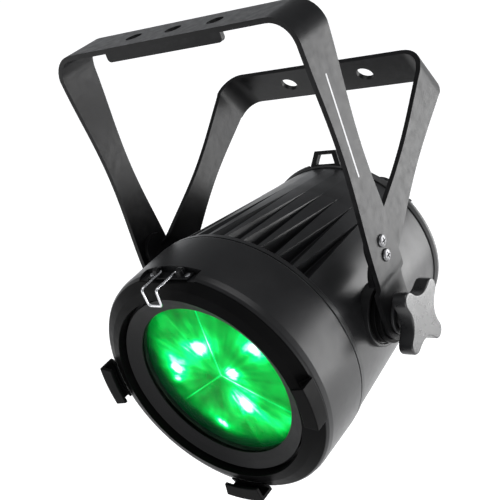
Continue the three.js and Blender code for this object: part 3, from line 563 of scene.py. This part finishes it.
PAD_HALF, PAD_LOW, PAD_HIGH = 13.5, 50.5, 60.5    # rear screw pad: half width, centres of its round ends
PAD_INSIDE, PAD_OUTSIDE = FOOT - 4.25, FOOT - 0.35
REACH = 130                                       # past every outer face, for cutters


def waist(height):
    phase = min(max((height - CROSSING) / WAIST_SPAN, 0), 1) * 2 * math.pi
    return (STRIP_HALF + WAIST_HALF) / 2 + (STRIP_HALF - WAIST_HALF) / 2 * math.cos(phase)


def smooth(low, high, t):
    t = min(max(t, 0), 1)
    return low + (high - low) * t * t * (3 - 2 * t)


def strap(half, foot, top, jog, bottom, width_at, foot_steps):
    """A bent strip with round feet, from outer stations (x, height, unit normal, half width)."""
    reach, least = width_at(bottom), 0.4
    leg_steps, corner_steps = 46, 10
    stations = []
    for k in range(1, foot_steps + 1):
        angle = math.radians(-90 + 90 * k / foot_steps)
        stations.append((foot, bottom + reach * math.sin(angle), 1, 0, max(reach * math.cos(angle), least)))
    for k in range(1, leg_steps + 1):
        height = bottom + (top - BEND - bottom) * k / leg_steps
        x = smooth(foot, half, (height - jog[0]) / (jog[1] - jog[0]))
        stations.append((x, height, 1, 0, width_at(height)))
    for k in range(1, corner_steps + 1):
        angle = math.radians(90 * k / corner_steps)
        stations.append((half - BEND + BEND * math.cos(angle), top - BEND + BEND * math.sin(angle),
                         math.cos(angle), math.sin(angle), width_at(top)))
    whole = stations + [(-x, h, -nx, nz, w) for x, h, nx, nz, w in reversed(stations)]
    points, faces = [], []
    for x, h, nx, nz, w in whole:
        for inset in (0, PLATE):
            for side in (-1, 1):
                points.append((x - nx * inset, side * w, h - nz * inset))
    for i in range(len(whole) - 1):
        a, b = 4 * i, 4 * i + 4
        faces += [(a, a + 1, b + 1, b), (a + 3, a + 2, b + 2, b + 3),
                  (a + 2, a, b, b + 2), (a + 1, a + 3, b + 3, b + 1)]
    last = 4 * (len(whole) - 1)
    faces += [(0, 2, 3, 1), (last, last + 1, last + 3, last + 2)]
    return points, faces


def drill(radius, x0, x1, y, z, sides=40):
    return lathe([(0, x0), (radius, x0), (radius, x1), (0, x1)], sides, (y, z), "X")


def leaned(part):
    """Square-to-the-bracket (x, across, reach) points laid back about the crossing."""
    c, s = math.cos(REAR_LEAN), math.sin(REAR_LEAN)
    return [(x, h * s + v * c, CROSSING + h * c - v * s) for x, v, h in part[0]], part[1]


def clamp_holes(top, radius):
    """Cutters for the row of three clamp holes in a crosspiece."""
    sides = 40
    turns = [2 * math.pi * k / sides for k in range(sides)]
    holes = []
    for x in (-CLAMP_SPACING, 0, CLAMP_SPACING):
        ring = [(radius * math.cos(a) + x, radius * math.sin(a)) for a in turns]
        points = [(a, b, h) for h in (top - 14, top + 12) for a, b in ring]
        faces = [tuple(range(sides))[::-1], tuple(range(sides, 2 * sides))]
        faces += [(k, (k + 1) % sides, (k + 1) % sides + sides, k + sides) for k in range(sides)]
        holes.append((points, faces))
    return holes


def flange(top, edge, inside, start, tip):
    """Stiffening lip folded along one edge of the crosspiece, with eased ends."""
    turn = 2 if tip > start else -2
    outline = rounded([(-LIP_HALF, start), (-LIP_HALF, tip - turn), (2 - LIP_HALF, tip),
                       (LIP_HALF - 2, tip), (LIP_HALF, tip - turn), (LIP_HALF, start)], 1.2, 3)
    return lifted(prism(outline, min(edge, inside), max(edge, inside), "Y"), top)


SCREW_HEIGHTS = [centre_of(f"bracket_screw_right_{k}")[2] for k in (1, 2)]

front = strap(FRONT_HALF, FOOT, TOP, FRONT_JOG, 0, waist, 12)
front_bracket = piece("front_bracket_strip", *front, "bracket", BLACK_COAT, "front_bracket",
                      slot="black_coat")
carve(front_bracket, [row(flange(TOP, -STRIP_HALF, PLATE - STRIP_HALF, -2, -11))], "UNION")
carve(front_bracket, [row(hole) for hole in clamp_holes(TOP, FRONT_HOLE)]
      + [row(drill(PIVOT_HOLE, -REACH, REACH, 0, 0))])
soften(front_bracket, 0.7, 3)

rear = strap(REAR_HALF, REAR_FOOT, REAR_REACH, REAR_JOG, REAR_START, lambda h: waist(h + CROSSING), 8)
rear_bracket = piece("rear_bracket_strip", *leaned(rear), "bracket", BLACK_COAT, "rear_bracket",
                     slot="black_coat")
pad_outline = []
for end, start in ((PAD_LOW, 180), (PAD_HIGH, 0)):
    for k in range(16):
        angle = math.radians(start + 12 * k)
        pad_outline.append((PAD_HALF * math.cos(angle), end + PAD_HALF * math.sin(angle)))
pads = [prism(pad_outline, PAD_INSIDE, PAD_OUTSIDE), prism(pad_outline, -PAD_OUTSIDE, -PAD_INSIDE)]
rear_edge = STRIP_HALF + REAR_BULGE
rear_lip = flange(REAR_REACH, rear_edge, rear_edge - PLATE, -2, 7)
carve(rear_bracket, [row(block(-REACH, REACH, -60, 60, -40, REAR_CUT))])
carve(rear_bracket, [row(leaned(rear_lip))] + [row(pad) for pad in pads], "UNION")
carve(rear_bracket, [row(leaned(hole)) for hole in clamp_holes(REAR_REACH, REAR_HOLE)])
soften(rear_bracket, 0.7, 3)


def screw_head(radius, height, seat, y, z):
    """Pan head about X, without its recess."""
    profile = [(0, seat), (radius, seat), (radius, seat + height * 0.35)]
    for k in range(1, 7):
        angle = math.radians(15 * k)
        profile.append((radius * math.cos(angle) if k < 6 else 0,
                        seat + height * (0.35 + 0.65 * math.sin(angle))))
    return lathe(profile, 40, (y, z), "X")


def cross(radius, low, high, y, z, width=0.55):
    """Cutters for a cross recess about X."""
    return [block(low, high, y - radius, y + radius, z - width, z + width),
            block(low, high, y - width, y + width, z - radius, z + radius)]


for side, label in ((1, "right"), (-1, "left")):
    for k, height in enumerate(SCREW_HEIGHTS, 1):
        shape = screw_head(4.9, 2.3, FRONT_HALF + 0.05, 0, height)
        recess = cross(2.7, FRONT_HALF + 0.9, FRONT_HALF + 6, 0, height)
        if side < 0:
            shape, recess = mirrored(shape), [mirrored(tool) for tool in recess]
        made = piece(f"bracket_screw_head_{label}_{k}", *shape, "bracket", SCREW_STEEL,
                     f"bracket_screw_{label}_{k}", slot="bright_steel")
        carve(made, [row(tool) for tool in recess])
        soften(made, 0.15, 2)

# A painted highlight: a plain pale streak on each outer face of the front bracket's legs, over their black
# coat.
HIGHLIGHT_INSIDE = FRONT_HALF + 0.02
HIGHLIGHT_OUTSIDE = HIGHLIGHT_INSIDE + 0.06
highlight_streak = rounded([(-3.2, 118), (-1.6, 118), (-1.6, 196), (-3.2, 196)], 0.7, 4)
for side, label in ((1, "right"), (-1, "left")):
    mark = prism(highlight_streak, side * HIGHLIGHT_INSIDE, side * HIGHLIGHT_OUTSIDE)
    piece(f"leg_painted_highlight_{label}", *mark, "bracket", LEG_HIGHLIGHT_PAINT, slot="black_coat")

# ---- housing ----
SEAM_Y = box("housing")[0][1] - 0.3
TAIL_Y = box("housing")[1][1]
BODY_R, TAIL_R, TAIL_DROP = 100.0, 82.6, 11.5
COLLAR_Y = -45.0
GROOVES, PITCH, DEPTH, HALF_W, GROOVE_END = 12, math.radians(8.8), 12.0, 6.2, 62.0


def body_radius(y):
    return BODY_R + (TAIL_R - BODY_R) * (y - SEAM_Y) / (TAIL_Y - SEAM_Y)


def body_drop(y):
    return TAIL_DROP * (y - SEAM_Y) / (TAIL_Y - SEAM_Y)


def housing_shell():
    """Skin with V grooves that run out towards the tail; grid columns follow the groove edges."""
    marks = [-1.0, -0.93, -0.7, -0.35, -0.06, 0.06, 0.35, 0.7, 0.93, 1.0]    # across one groove
    plain_steps, groove_steps, tail_steps = 24, 42, 8
    columns = []
    for middle in (math.pi / 2, -math.pi / 2):
        for i in range(GROOVES):
            centre = middle + (i - (GROOVES - 1) / 2) * PITCH
            columns += [(centre, mark) for mark in marks]
            if i < GROOVES - 1:
                columns.append((centre + PITCH / 2, None))
        edge = middle + (GROOVES / 2 + 0.15) * PITCH
        span = math.pi - (GROOVES + 0.3) * PITCH
        columns += [(edge + span * k / plain_steps, None) for k in range(plain_steps + 1)]
    outer = [(SEAM_Y + 0.3, BODY_R - 0.4), (SEAM_Y + 0.7, BODY_R), (COLLAR_Y - 0.5, BODY_R - 0.2),
             (COLLAR_Y - 0.1, BODY_R - 0.5), (COLLAR_Y, BODY_R - 1.3)]
    stations = [(y, r, 0) for y, r in outer]
    start = COLLAR_Y + 0.25
    for k in range(groove_steps + 1):
        y = start + (GROOVE_END - start) * k / groove_steps
        stations.append((y, body_radius(y) - 0.7, (GROOVE_END - y) / (GROOVE_END - COLLAR_Y)))
    for k in range(1, tail_steps + 1):
        y = GROOVE_END + (TAIL_Y - 0.8 - GROOVE_END) * k / tail_steps
        stations.append((y, body_radius(y) - (0.5 if y < 90 else 0.2), 0))
    stations.append((TAIL_Y, TAIL_R - 0.8, 0))
    stations += [(TAIL_Y, 75.6, 0), (60, 80.0, 0), (6, 84.0, 0), (5.5, 1.0, 0)]
    dropped = len(stations)
    stations += [(-4.5, 1.0, 0), (-4.5, 79.5, 0), (SEAM_Y + 0.3, 79.5, 0)]
    points, faces = [], []
    for index, (y, r, depth) in enumerate(stations):
        drop = body_drop(y) if index < dropped else 0
        for centre, mark in columns:
            angle, radius = centre, r
            if mark is not None:
                angle += mark * HALF_W * max(depth, 0.02) / r
                radius -= DEPTH * depth * (1 - abs(mark)) * 0.97
            points.append((radius * math.cos(angle), y, radius * math.sin(angle) - drop))
    count = len(columns)
    for i in range(len(stations)):
        j = (i + 1) % len(stations)
        for k in range(count):
            l = (k + 1) % count
            faces.append((i * count + k, i * count + l, j * count + l, j * count + k))
    return points, faces


def boss():
    """The round seat of the friction washer on the right, with a shallow groove in its face."""
    face = box("friction_washer_right")[0][0] - 0.3
    profile = [(4.4, 84), (25.5, 84), (25, face), (22.8, face), (22.3, face - 1.4), (16, face - 1.4),
               (15.5, face), (4.4, face)]
    return lathe(rounded(profile, 0.5), 96, (0, 0), "X")


shell = joined(housing_shell(), boss(), mirrored(boss()))
even(piece("finned_body", *shell, "head", SATIN_COAT, "housing", slot="satin_coat", sharp=30))

# ---- front rings ----
HOOK_HALF = 10.2                                  # half a hook's length along the ring, in degrees
BEZEL_R = box("bezel")[1][0]
FRONT_Y = box("bezel")[0][1]
bezel_profile = rounded([
    (95.2, SEAM_Y - 0.3), (BEZEL_R - 0.6, SEAM_Y - 0.3), (BEZEL_R, SEAM_Y - 1.4), (BEZEL_R, -95),
    (BEZEL_R - 0.8, -99.4), (98.1, FRONT_Y), (95.3, FRONT_Y), (95.3, -97.2), (82.1, -97.2), (82.1, -93.2),
    (95.2, -93.2)], 0.45, 3)
bezel = piece("bezel_ring", *lathe(bezel_profile, 192), "head", SATIN_COAT, "bezel", slot="satin_coat")
POCKET = block(-27, 27, -REACH, -91, 93.4, 120)   # room for the latch at the top of the rings
carve(bezel, [row(POCKET)])
soften(bezel, 0.3, 2, 50)

ring_profile = rounded([(94.9, -101.6), (98, -101.6), (93.8, -103.9), (89.7, -106.2), (82.2, -108.9),
                        (82.2, -97.6), (94.9, -97.6)], 0.5, 3)
hook_profile = rounded([(92, -105.3), (98.2, -101.9), (101.2, -101.9), (101.2, -116), (89.5, -116),
                        (89.5, -113.2), (98.4, -113.2), (98.4, -104.2), (92, -107.2)], 0.8, 4)
# The front ring and its hooks take the darker coat: painted shade.
accessory = piece("accessory_front", *lathe(ring_profile, 192), "head", RING_COAT_PAINTED_SHADE, "accessory_ring",
                  slot="black_coat")
carve(accessory, [row(POCKET)])
soften(accessory, 0.3, 2, 50)
for place, degrees in (("right", 0), ("left", 180), ("bottom", 270)):
    clip = lathe(hook_profile, 16, arc=(degrees - HOOK_HALF, degrees + HOOK_HALF))
    made = piece(f"colour_frame_hook_{place}", *clip, "head", RING_COAT_PAINTED_SHADE, f"frame_clip_{place}",
                 slot="black_coat")
    soften(made, 0.6, 3, 50)

trim_profile = rounded([(67.5, -98.2), (73.4, -100.6), (79.3, -103.4), (79.3, -98.5), (81.8, -98.5),
                        (81.8, -92.9), (86, -92.9), (86, -90), (76.6, -90), (76.6, -97.2), (67.9, -97.2)],
                       0.4, 3)
even(piece("aperture_ring", *lathe(trim_profile, 192), "head", BLACK_COAT, "trim_ring", slot="black_coat"))
glass_low, glass_high = box("front_glass")
pane_profile = rounded([(0, glass_low[1]), (glass_high[0], glass_low[1]), (glass_high[0], glass_high[1]),
                        (0, glass_high[1])], 0.4, 3)
even(piece("front_pane", *lathe(pane_profile, 144), "head", GLASS, "front_glass", slot="clear_glass"))


def lens_dome(start):
    """One third of the domed lens, set outwards so that a fine seam is left between thirds."""
    apex, back = box("lens_sector_1")[0][1], box("lens_sector_1")[1][1]
    edge, radius = -85.4, 81.5
    rows, columns = 22, 40
    outward = 0.3
    middle = math.radians(start + 60)
    shift = (outward * math.cos(middle), outward * math.sin(middle))
    points, faces = [], []
    for y_of in (lambda t: apex + (edge - apex) * t ** 2, lambda t: back):
        for i in range(rows + 1):
            t = i / rows
            for k in range(columns + 1):
                angle = math.radians(start + 120 * k / columns)
                points.append((radius * t * math.cos(angle) + shift[0], y_of(t),
                               radius * t * math.sin(angle) + shift[1]))
    width = columns + 1
    sheet = (rows + 1) * width
    for base in (0, sheet):
        for i in range(rows):
            for k in range(columns):
                a = base + i * width + k
                face = (a, a + 1, a + width + 1, a + width)
                faces.append(face if base else face[::-1])
    for i in range(rows):
        for k in (0, columns):
            a = i * width + k
            faces.append((a, a + width, a + width + sheet, a + sheet))
    for k in range(columns):
        a = rows * width + k
        faces.append((a, a + 1, a + 1 + sheet, a + sheet))
    return points, faces


for k, start in enumerate((90, 210, 330), 1):
    third = piece(f"lens_third_{k}", *lens_dome(start), "zoom_carriage", LENS, f"lens_sector_{k}",
                  slot="green_lens")
    soften(third, 0.35, 2, 50)

# ---- latch ----
wire_low = box("latch_wire")[0]
PIVOT = JOINTS["latch_swing"]["pos_m"]
PIVOT_Y, PIVOT_Z = PIVOT[1] / MM, PIVOT[2] / MM - TILT_Z
LUG_R = 3.4
wire_front, nose = wire_low[1] + 1.15, wire_low[2] + 1.15
wire_half = [(12.7, PIVOT_Y, PIVOT_Z), (7, PIVOT_Y, PIVOT_Z), (7, wire_front, PIVOT_Z), (6, wire_front, nose)]
wire_path = bent(wire_half + [(-x, y, z) for x, y, z in wire_half[::-1]], 2.2)
piece("latch_bail", *sweep(wire_path, 1.1), "latch", STEEL, "latch_wire", slot="bright_steel")
lugs = [block(-19.8, 19.8, -100.2, -91.4, 93.75, 95.3)]
lug_outline = [(PIVOT_Y + LUG_R, 95), (PIVOT_Y + LUG_R, PIVOT_Z)]
for k in range(1, 15):
    angle = math.radians(12 * k)
    lug_outline.append((PIVOT_Y + LUG_R * math.cos(angle), PIVOT_Z + LUG_R * math.sin(angle)))
lug_outline += [(PIVOT_Y - LUG_R, PIVOT_Z), (PIVOT_Y - LUG_R, 95)]
lugs += [prism(lug_outline, 9.4, 13.3), prism(lug_outline, -13.3, -9.4)]
latch_seat = piece("latch_seat", *lugs[0], "head", BLACK_COAT, "latch_lugs", slot="black_coat")
carve(latch_seat, [row(lug) for lug in lugs[1:]], "UNION")
carve(latch_seat, [row(drill(1.4, -30, 30, PIVOT_Y, PIVOT_Z, 20))])
soften(latch_seat, 0.4, 2)
RIVET_Y = -95.6
rivet = lathe([(0, 96.6), (1.2, 96.5), (2.2, 96.0), (2.4, 95.4), (0, 95.4)], 24, (0, 0), "Y")
for label, x in (("left", -17), ("right", 17)):
    points = [(a + x, RIVET_Y + b, y) for a, y, b in rivet[0]]
    piece(f"latch_rivet_{label}", points, rivet[1], "head", SCREW_STEEL, slot="bright_steel")


# ---- tilt knobs, washers ----
def on_arm(middle, angle):
    """A point on the round end of the knob arm whose middle line lies at an angle."""
    reach, half = 24.5, 6.5
    return Vector((reach * math.cos(middle) + half * math.cos(angle),
                   reach * math.sin(middle) + half * math.sin(angle)))


def star_outline():
    """Four round-ended arms with hollows between them."""
    valley, end_turn, end_steps, hollow_steps = 17.0, 1.35, 9, 8
    ring = []
    for i in range(4):
        middle = math.radians(30 + 90 * i)
        for k in range(end_steps + 1):
            ring.append(on_arm(middle, middle - end_turn + 2 * end_turn * k / end_steps))
        low = middle + math.pi / 4
        here = Vector((valley * math.cos(low), valley * math.sin(low)))
        following = math.radians(30 + 90 * (i + 1))
        begin, end = ring[-1], on_arm(following, following - end_turn)
        pull = here * 2 - (begin + end) / 2
        ring += eased(begin, pull, end, hollow_steps)[1:-1]
    return ring


def knob():
    """Four-armed grip, hub and stud of the knob on the right."""
    low, high = box("tilt_knob_right")
    outer = high[0]
    # (scale of the outline, depth behind the outer face)
    levels = [(0.0, 12), (0.4, 12), (0.93, 12), (0.985, 11.4), (1.0, 10.4), (1.0, 1.3), (0.985, 0.5),
              (0.955, 0.08), (0.915, 0), (0.6, 0.1), (0.3, 0.15), (0.0, 0.15)]
    ring = star_outline()
    points, faces = [], []
    count = len(ring)
    for scale, depth in levels:
        points += [(outer - depth, p.x * scale, p.y * scale) for p in ring]
    for i in range(len(levels) - 1):
        for k in range(count):
            l = (k + 1) % count
            faces.append((i * count + k, i * count + l, (i + 1) * count + l, (i + 1) * count + k))
    hub_profile = rounded([(0, FOOT + 3), (11.2, FOOT + 3), (12.4, FOOT + 4.5), (12.0, outer - 11),
                           (0, outer - 11)], 0.5)
    stud_profile = [(0, low[0]), (3.4, low[0]), (4.0, low[0] + 0.8), (4.0, outer - 12), (0, outer - 12)]
    hub = lathe(hub_profile, 64, (0, 0), "X")
    stud = lathe(stud_profile, 32, (0, 0), "X")
    return joined((points, faces), hub, stud)


inner, outer = box("friction_washer_right")[0][0], box("friction_washer_right")[1][0]
washer = lathe(rounded([(4.6, inner), (21.4, inner), (21.4, 103.2), (19.8, 103.6), (19.8, 104.4),
                        (21.4, 104.8), (21.4, outer), (4.6, outer)], 0.5), 96, (0, 0), "X")
inner, outer = box("knob_spacer_right")[0][0], box("knob_spacer_right")[1][0]
spacer = lathe(rounded([(4.6, inner), (15, inner), (15, outer), (4.6, outer)], 0.5), 80, (0, 0), "X")
for label, side in (("right", lambda part: part), ("left", mirrored)):
    even(piece(f"tilt_knob_grip_{label}", *side(knob()), f"tilt_knob_{label}", KNOB_PLASTIC,
               f"tilt_knob_{label}", slot="black_plastic", sharp=44))
    # The washers take the darker ring coat: painted shade for the shadow at the pivot.
    even(piece(f"pivot_washer_{label}", *side(washer), "head", RING_COAT_PAINTED_SHADE, f"friction_washer_{label}",
               slot="black_rubber"))
    even(piece(f"pivot_spacer_{label}", *side(spacer), "head", PLASTIC, f"knob_spacer_{label}",
               slot="black_plastic"))

# ---- bezel screws ----
BEZEL_SCREW_Y = -47.4
for degrees in (30, 150, 210, 330):
    shape = screw_head(2.05, 1.2, 98.4, BEZEL_SCREW_Y, 0)
    recess = cross(1.2, 99.2, 102, BEZEL_SCREW_Y, 0, 0.28)
    turn = Matrix.Rotation(-math.radians(degrees), 3, "Y")
    turned = [([tuple(turn @ Vector(p)) for p in part[0]], part[1]) for part in [shape] + recess]
    made = piece(f"bezel_screw_{degrees}", *turned[0], "head", SCREW_STEEL, slot="bright_steel")
    carve(made, [row(tool) for tool in turned[1:]])
    soften(made, 0.08, 1)

# ---- rear ----
cover_low, cover_high = box("rear_cover")
RIM, BACK = cover_high[0], cover_high[1]
cover_profile = rounded([(0, 120), (72, 120), (72, cover_low[1]), (RIM - 1.5, cover_low[1]),
                         (RIM, cover_low[1] + 2.7), (RIM, BACK - 2), (RIM - 3, BACK), (70, BACK),
                         (69, BACK - 0.8), (67.6, BACK - 0.8), (66.6, BACK), (0, BACK)], 0.5, 3)
cover = piece("tail_cover", *lifted(lathe(cover_profile, 160), -TAIL_DROP), "head", COVER_COAT, "rear_cover",
              slot="black_coat")


def bar_y(radius, y0, y1, x, z, sides=40):
    """A closed bar along Y."""
    return lathe([(0, y0), (radius, y0), (radius, y1), (0, y1)], sides, (x, z))


CONNECTORS = ["data_input", "data_output", "power_input", "power_output"]
BUTTONS = [f"button_{k}" for k in range(1, 5)]
COVER_SCREWS = [f"cover_screw_{k}" for k in (1, 2, 3)]
GAP = 0.3                                         # around the window and below the safety loop
centres = {node: centre_of(node)[::2] for node in CONNECTORS + BUTTONS + COVER_SCREWS}
window_low, window_high = box("display_window")
holes = [block(window_low[0] - GAP, window_high[0] + GAP, 110, REACH,
               window_low[2] - GAP, window_high[2] + GAP),
         block(-25.5, 25.5, BACK - 1.4, REACH, -2 - TAIL_DROP, 46 - TAIL_DROP),
         block(-17, 17, TAIL_Y + 2.7, REACH, box("safety_loop")[0][2] - GAP, 90)]
for names, radius, start in ((BUTTONS, 4.4, 110), (CONNECTORS, 10.4, 110), (COVER_SCREWS, 1.9, 106)):
    holes += [bar_y(radius, start, REACH, *centres[name]) for name in names]
carve(cover, [row(hole) for hole in holes])
soften(cover, 0.35, 2, 50)


def ribbed(node):
    """Round connector with a ribbed grip and a stepped socket."""
    x, z = centres[node]
    low, high = box(node)
    face, mouth = BACK + 0.3, high[1]
    points, faces = [], []
    profile = [(0, low[1]), (9.6, low[1]), (10, low[1] + 0.6), (10, face), (14.2, face), (14.9, face + 0.7),
               (14.9, face + 1.6), (14.3, face + 2.2), (14.3, mouth - 2.6), (14.9, mouth - 2.0),
               (14.9, mouth - 0.6), (14.3, mouth), (10, mouth), (9.2, mouth - 0.9), (9.2, face + 2),
               (7.2, face + 2), (7.2, face + 3.2), (0, face + 3.2)]
    sides, rib_depth = 120, 0.55
    for i in range(sides):
        angle = 2 * math.pi * i / sides
        rib = rib_depth if (i // 3) % 2 else 0.0
        for radius, y in profile:
            grooved = radius - rib if 14.2 < radius < 14.6 else radius
            points.append((x + grooved * math.cos(angle), y, z + grooved * math.sin(angle)))
    count = len(profile)
    for i in range(sides):
        j = (i + 1) % sides
        for k in range(count - 1):
            faces.append((i * count + k, j * count + k, j * count + k + 1, i * count + k + 1))
    return points, faces


PIN_CIRCLE = 4.2
pin_profile = [(0, BACK + 3), (0.9, BACK + 3), (0.9, BACK + 9), (0.5, BACK + 9.6), (0, BACK + 9.7)]
for node in CONNECTORS:
    even(piece(f"{node}_socket", *ribbed(node), "head", PLASTIC, node, slot="black_plastic", sharp=50))
    x, z = centres[node]
    count = 5 if "data" in node else 3
    pins = []
    for k in range(count):
        angle = math.radians(90 + 360 * k / count)
        place = (x + PIN_CIRCLE * math.cos(angle), z + PIN_CIRCLE * math.sin(angle))
        pins.append(lathe(pin_profile, 16, place))
    piece(f"{node}_contacts", *joined(*pins), "head", BRASS, slot="brass")

for k in range(1, 5):
    x, z = centres[f"button_{k}"]
    low, high = box(f"button_{k}")
    tip = high[1]
    profile = [(0, low[1]), (5.1, low[1]), (5.1, low[1] + 1.4), (3.9, low[1] + 1.5), (3.9, tip - 0.8),
               (3.5, tip - 0.2), (2.6, tip), (2.2, tip - 0.25), (0, tip - 0.45)]
    even(piece(f"menu_button_cap_{k}", *lathe(profile, 48, (x, z)), f"menu_button_{k}", RUBBER, f"button_{k}",
               slot="black_rubber"))
for k in (1, 2, 3):
    x, z = centres[f"cover_screw_{k}"]
    low, high = box(f"cover_screw_{k}")
    head = rounded([(0, low[1]), (1.6, low[1]), (1.6, BACK + 0.1), (3.4, BACK + 0.1), (3.4, high[1]),
                    (0, high[1])], 0.35)
    made = piece(f"cover_screw_head_{k}", *lathe(head, 40, (x, z)), "head", SCREW_STEEL, f"cover_screw_{k}",
                 slot="bright_steel")
    carve(made, [row(bar_y(1.5, BACK + 1.2, BACK + 6, x, z, 6))])
    soften(made, 0.1, 1)


def detailed(name, node, body, material, width):
    """A copy of a CAD node with its edges rounded."""
    source = frame["nodes"][node]
    mesh = source.data.copy()
    made = bpy.data.objects.new(name, mesh)
    bpy.context.scene.collection.objects.link(made)
    mesh.transform(source.matrix_world)
    mesh.materials.clear()
    mesh.materials.append(material)
    work = bmesh.new()
    work.from_mesh(mesh)
    bmesh.ops.remove_doubles(work, verts=work.verts, dist=1e-5)
    bmesh.ops.dissolve_limit(work, angle_limit=math.radians(1), verts=work.verts, edges=work.edges)
    work.to_mesh(mesh)
    work.free()
    soften(made, width, 3)
    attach(made, body)
    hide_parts(node)
    return made


detailed("safety_eye", "safety_loop", "head", BLACK_COAT, 0.7)
detailed("display_pane", "display_window", "head", DISPLAY, 0.3)

# ---- carried-over CAD nodes ----
LOOKS = [
    (RUBBER, ["bezel_gasket", "glass_gasket", "rear_gasket"]),
    (BLACK_COAT, ["glass_clamp_ring", "zoom_motor"]),
    (PLASTIC, ["lens_carriage", "rod_holder"]),
    (STEEL, ["guide_rod_1", "guide_rod_2", "guide_rod_3", "zoom_lead_screw"]),
    (BRASS, ["zoom_nut"]),
    (ALUMINIUM, ["led_board", "led_driver"]),
    (EMITTER, ["led_emitter_1", "led_emitter_2", "led_emitter_3"]),
    (GLASS, ["mixing_rod_1", "mixing_rod_2", "mixing_rod_3"]),
    (BOARD, ["control_board"]),
]
for look, names in LOOKS:
    for name in names:
        node = frame["nodes"][name]
        node.data.materials.clear()
        node.data.materials.append(look)

# ---- stage ----
FLOOR_Z = CAD_BOX[0][2] - 0.42                    # well below the hanging lamp
SIDE = 30.0
LIGHT_TARGET = Vector((0, 0, -0.22))
floor_mesh = bpy.data.meshes.new("floor")
floor_mesh.from_pydata([(-SIDE, -SIDE, FLOOR_Z), (SIDE, -SIDE, FLOOR_Z), (SIDE, SIDE, FLOOR_Z),
                        (-SIDE, SIDE, FLOOR_Z)], [], [(0, 1, 2, 3)])
floor = bpy.data.objects.new("floor", floor_mesh)
bpy.context.scene.collection.objects.link(floor)
FLOOR_LOOK, _, floor_shader = nodes_of("pale_floor")
floor_shader.inputs["Base Color"].default_value = (0.92, 0.92, 0.92, 1)
floor_shader.inputs["Roughness"].default_value = 0.9
floor_shader.inputs["Emission Color"].default_value = (1, 1, 1, 1)
floor_shader.inputs["Emission Strength"].default_value = 0.38
floor_mesh.materials.append(FLOOR_LOOK)


def light(name, energy, place, size=None, angle=None):
    """A panel of (width, height) metres, or a sun of so many degrees, aimed at the lamp."""
    data = bpy.data.lights.new(name, "AREA" if size else "SUN")
    data.energy = energy
    if size:
        data.shape = "RECTANGLE"
        data.size, data.size_y = size
    else:
        data.angle = math.radians(angle)
    lamp = bpy.data.objects.new(name, data)
    bpy.context.scene.collection.objects.link(lamp)
    lamp.location = place
    lamp.rotation_euler = (LIGHT_TARGET - Vector(place)).to_track_quat("-Z", "Y").to_euler()


# The studio wall is as pale as the floor at the horizon, and dimmer towards the ceiling.
world = bpy.data.worlds.new("studio")
world.use_nodes = True
wall = world.node_tree
wall.nodes["Background"].inputs["Color"].default_value = (0.95, 0.97, 1.0, 1)
toward = add(wall, "ShaderNodeTexCoord")
upward = add(wall, "ShaderNodeSeparateXYZ")
wall.links.new(toward.outputs["Generated"], upward.inputs[0])
dimmer = add(wall, "ShaderNodeMapRange", interpolation_type="SMOOTHSTEP",
             **{"From Min": 0.02, "From Max": 0.4, "To Min": 1.0, "To Max": 0.36})
wall.links.new(upward.outputs["Z"], dimmer.inputs["Value"])
wall.links.new(dimmer.outputs["Result"], wall.nodes["Background"].inputs["Strength"])
bpy.context.scene.world = world
light("overhead", 1.25, (0.9, 0.5, 3.0), angle=40)
light("right_panel", 13, (0.72, 0.70, -0.42), size=(0.75, 0.62))
light("left_softbox", 5, (-1.3, -1.1, 0.2), size=(0.5, 1.1))
light("low_right", 4, (0.9, -0.9, -0.55), size=(0.5, 0.35))

scene = bpy.context.scene
scene.view_settings.view_transform = "Standard"
scene.view_settings.look = "None"
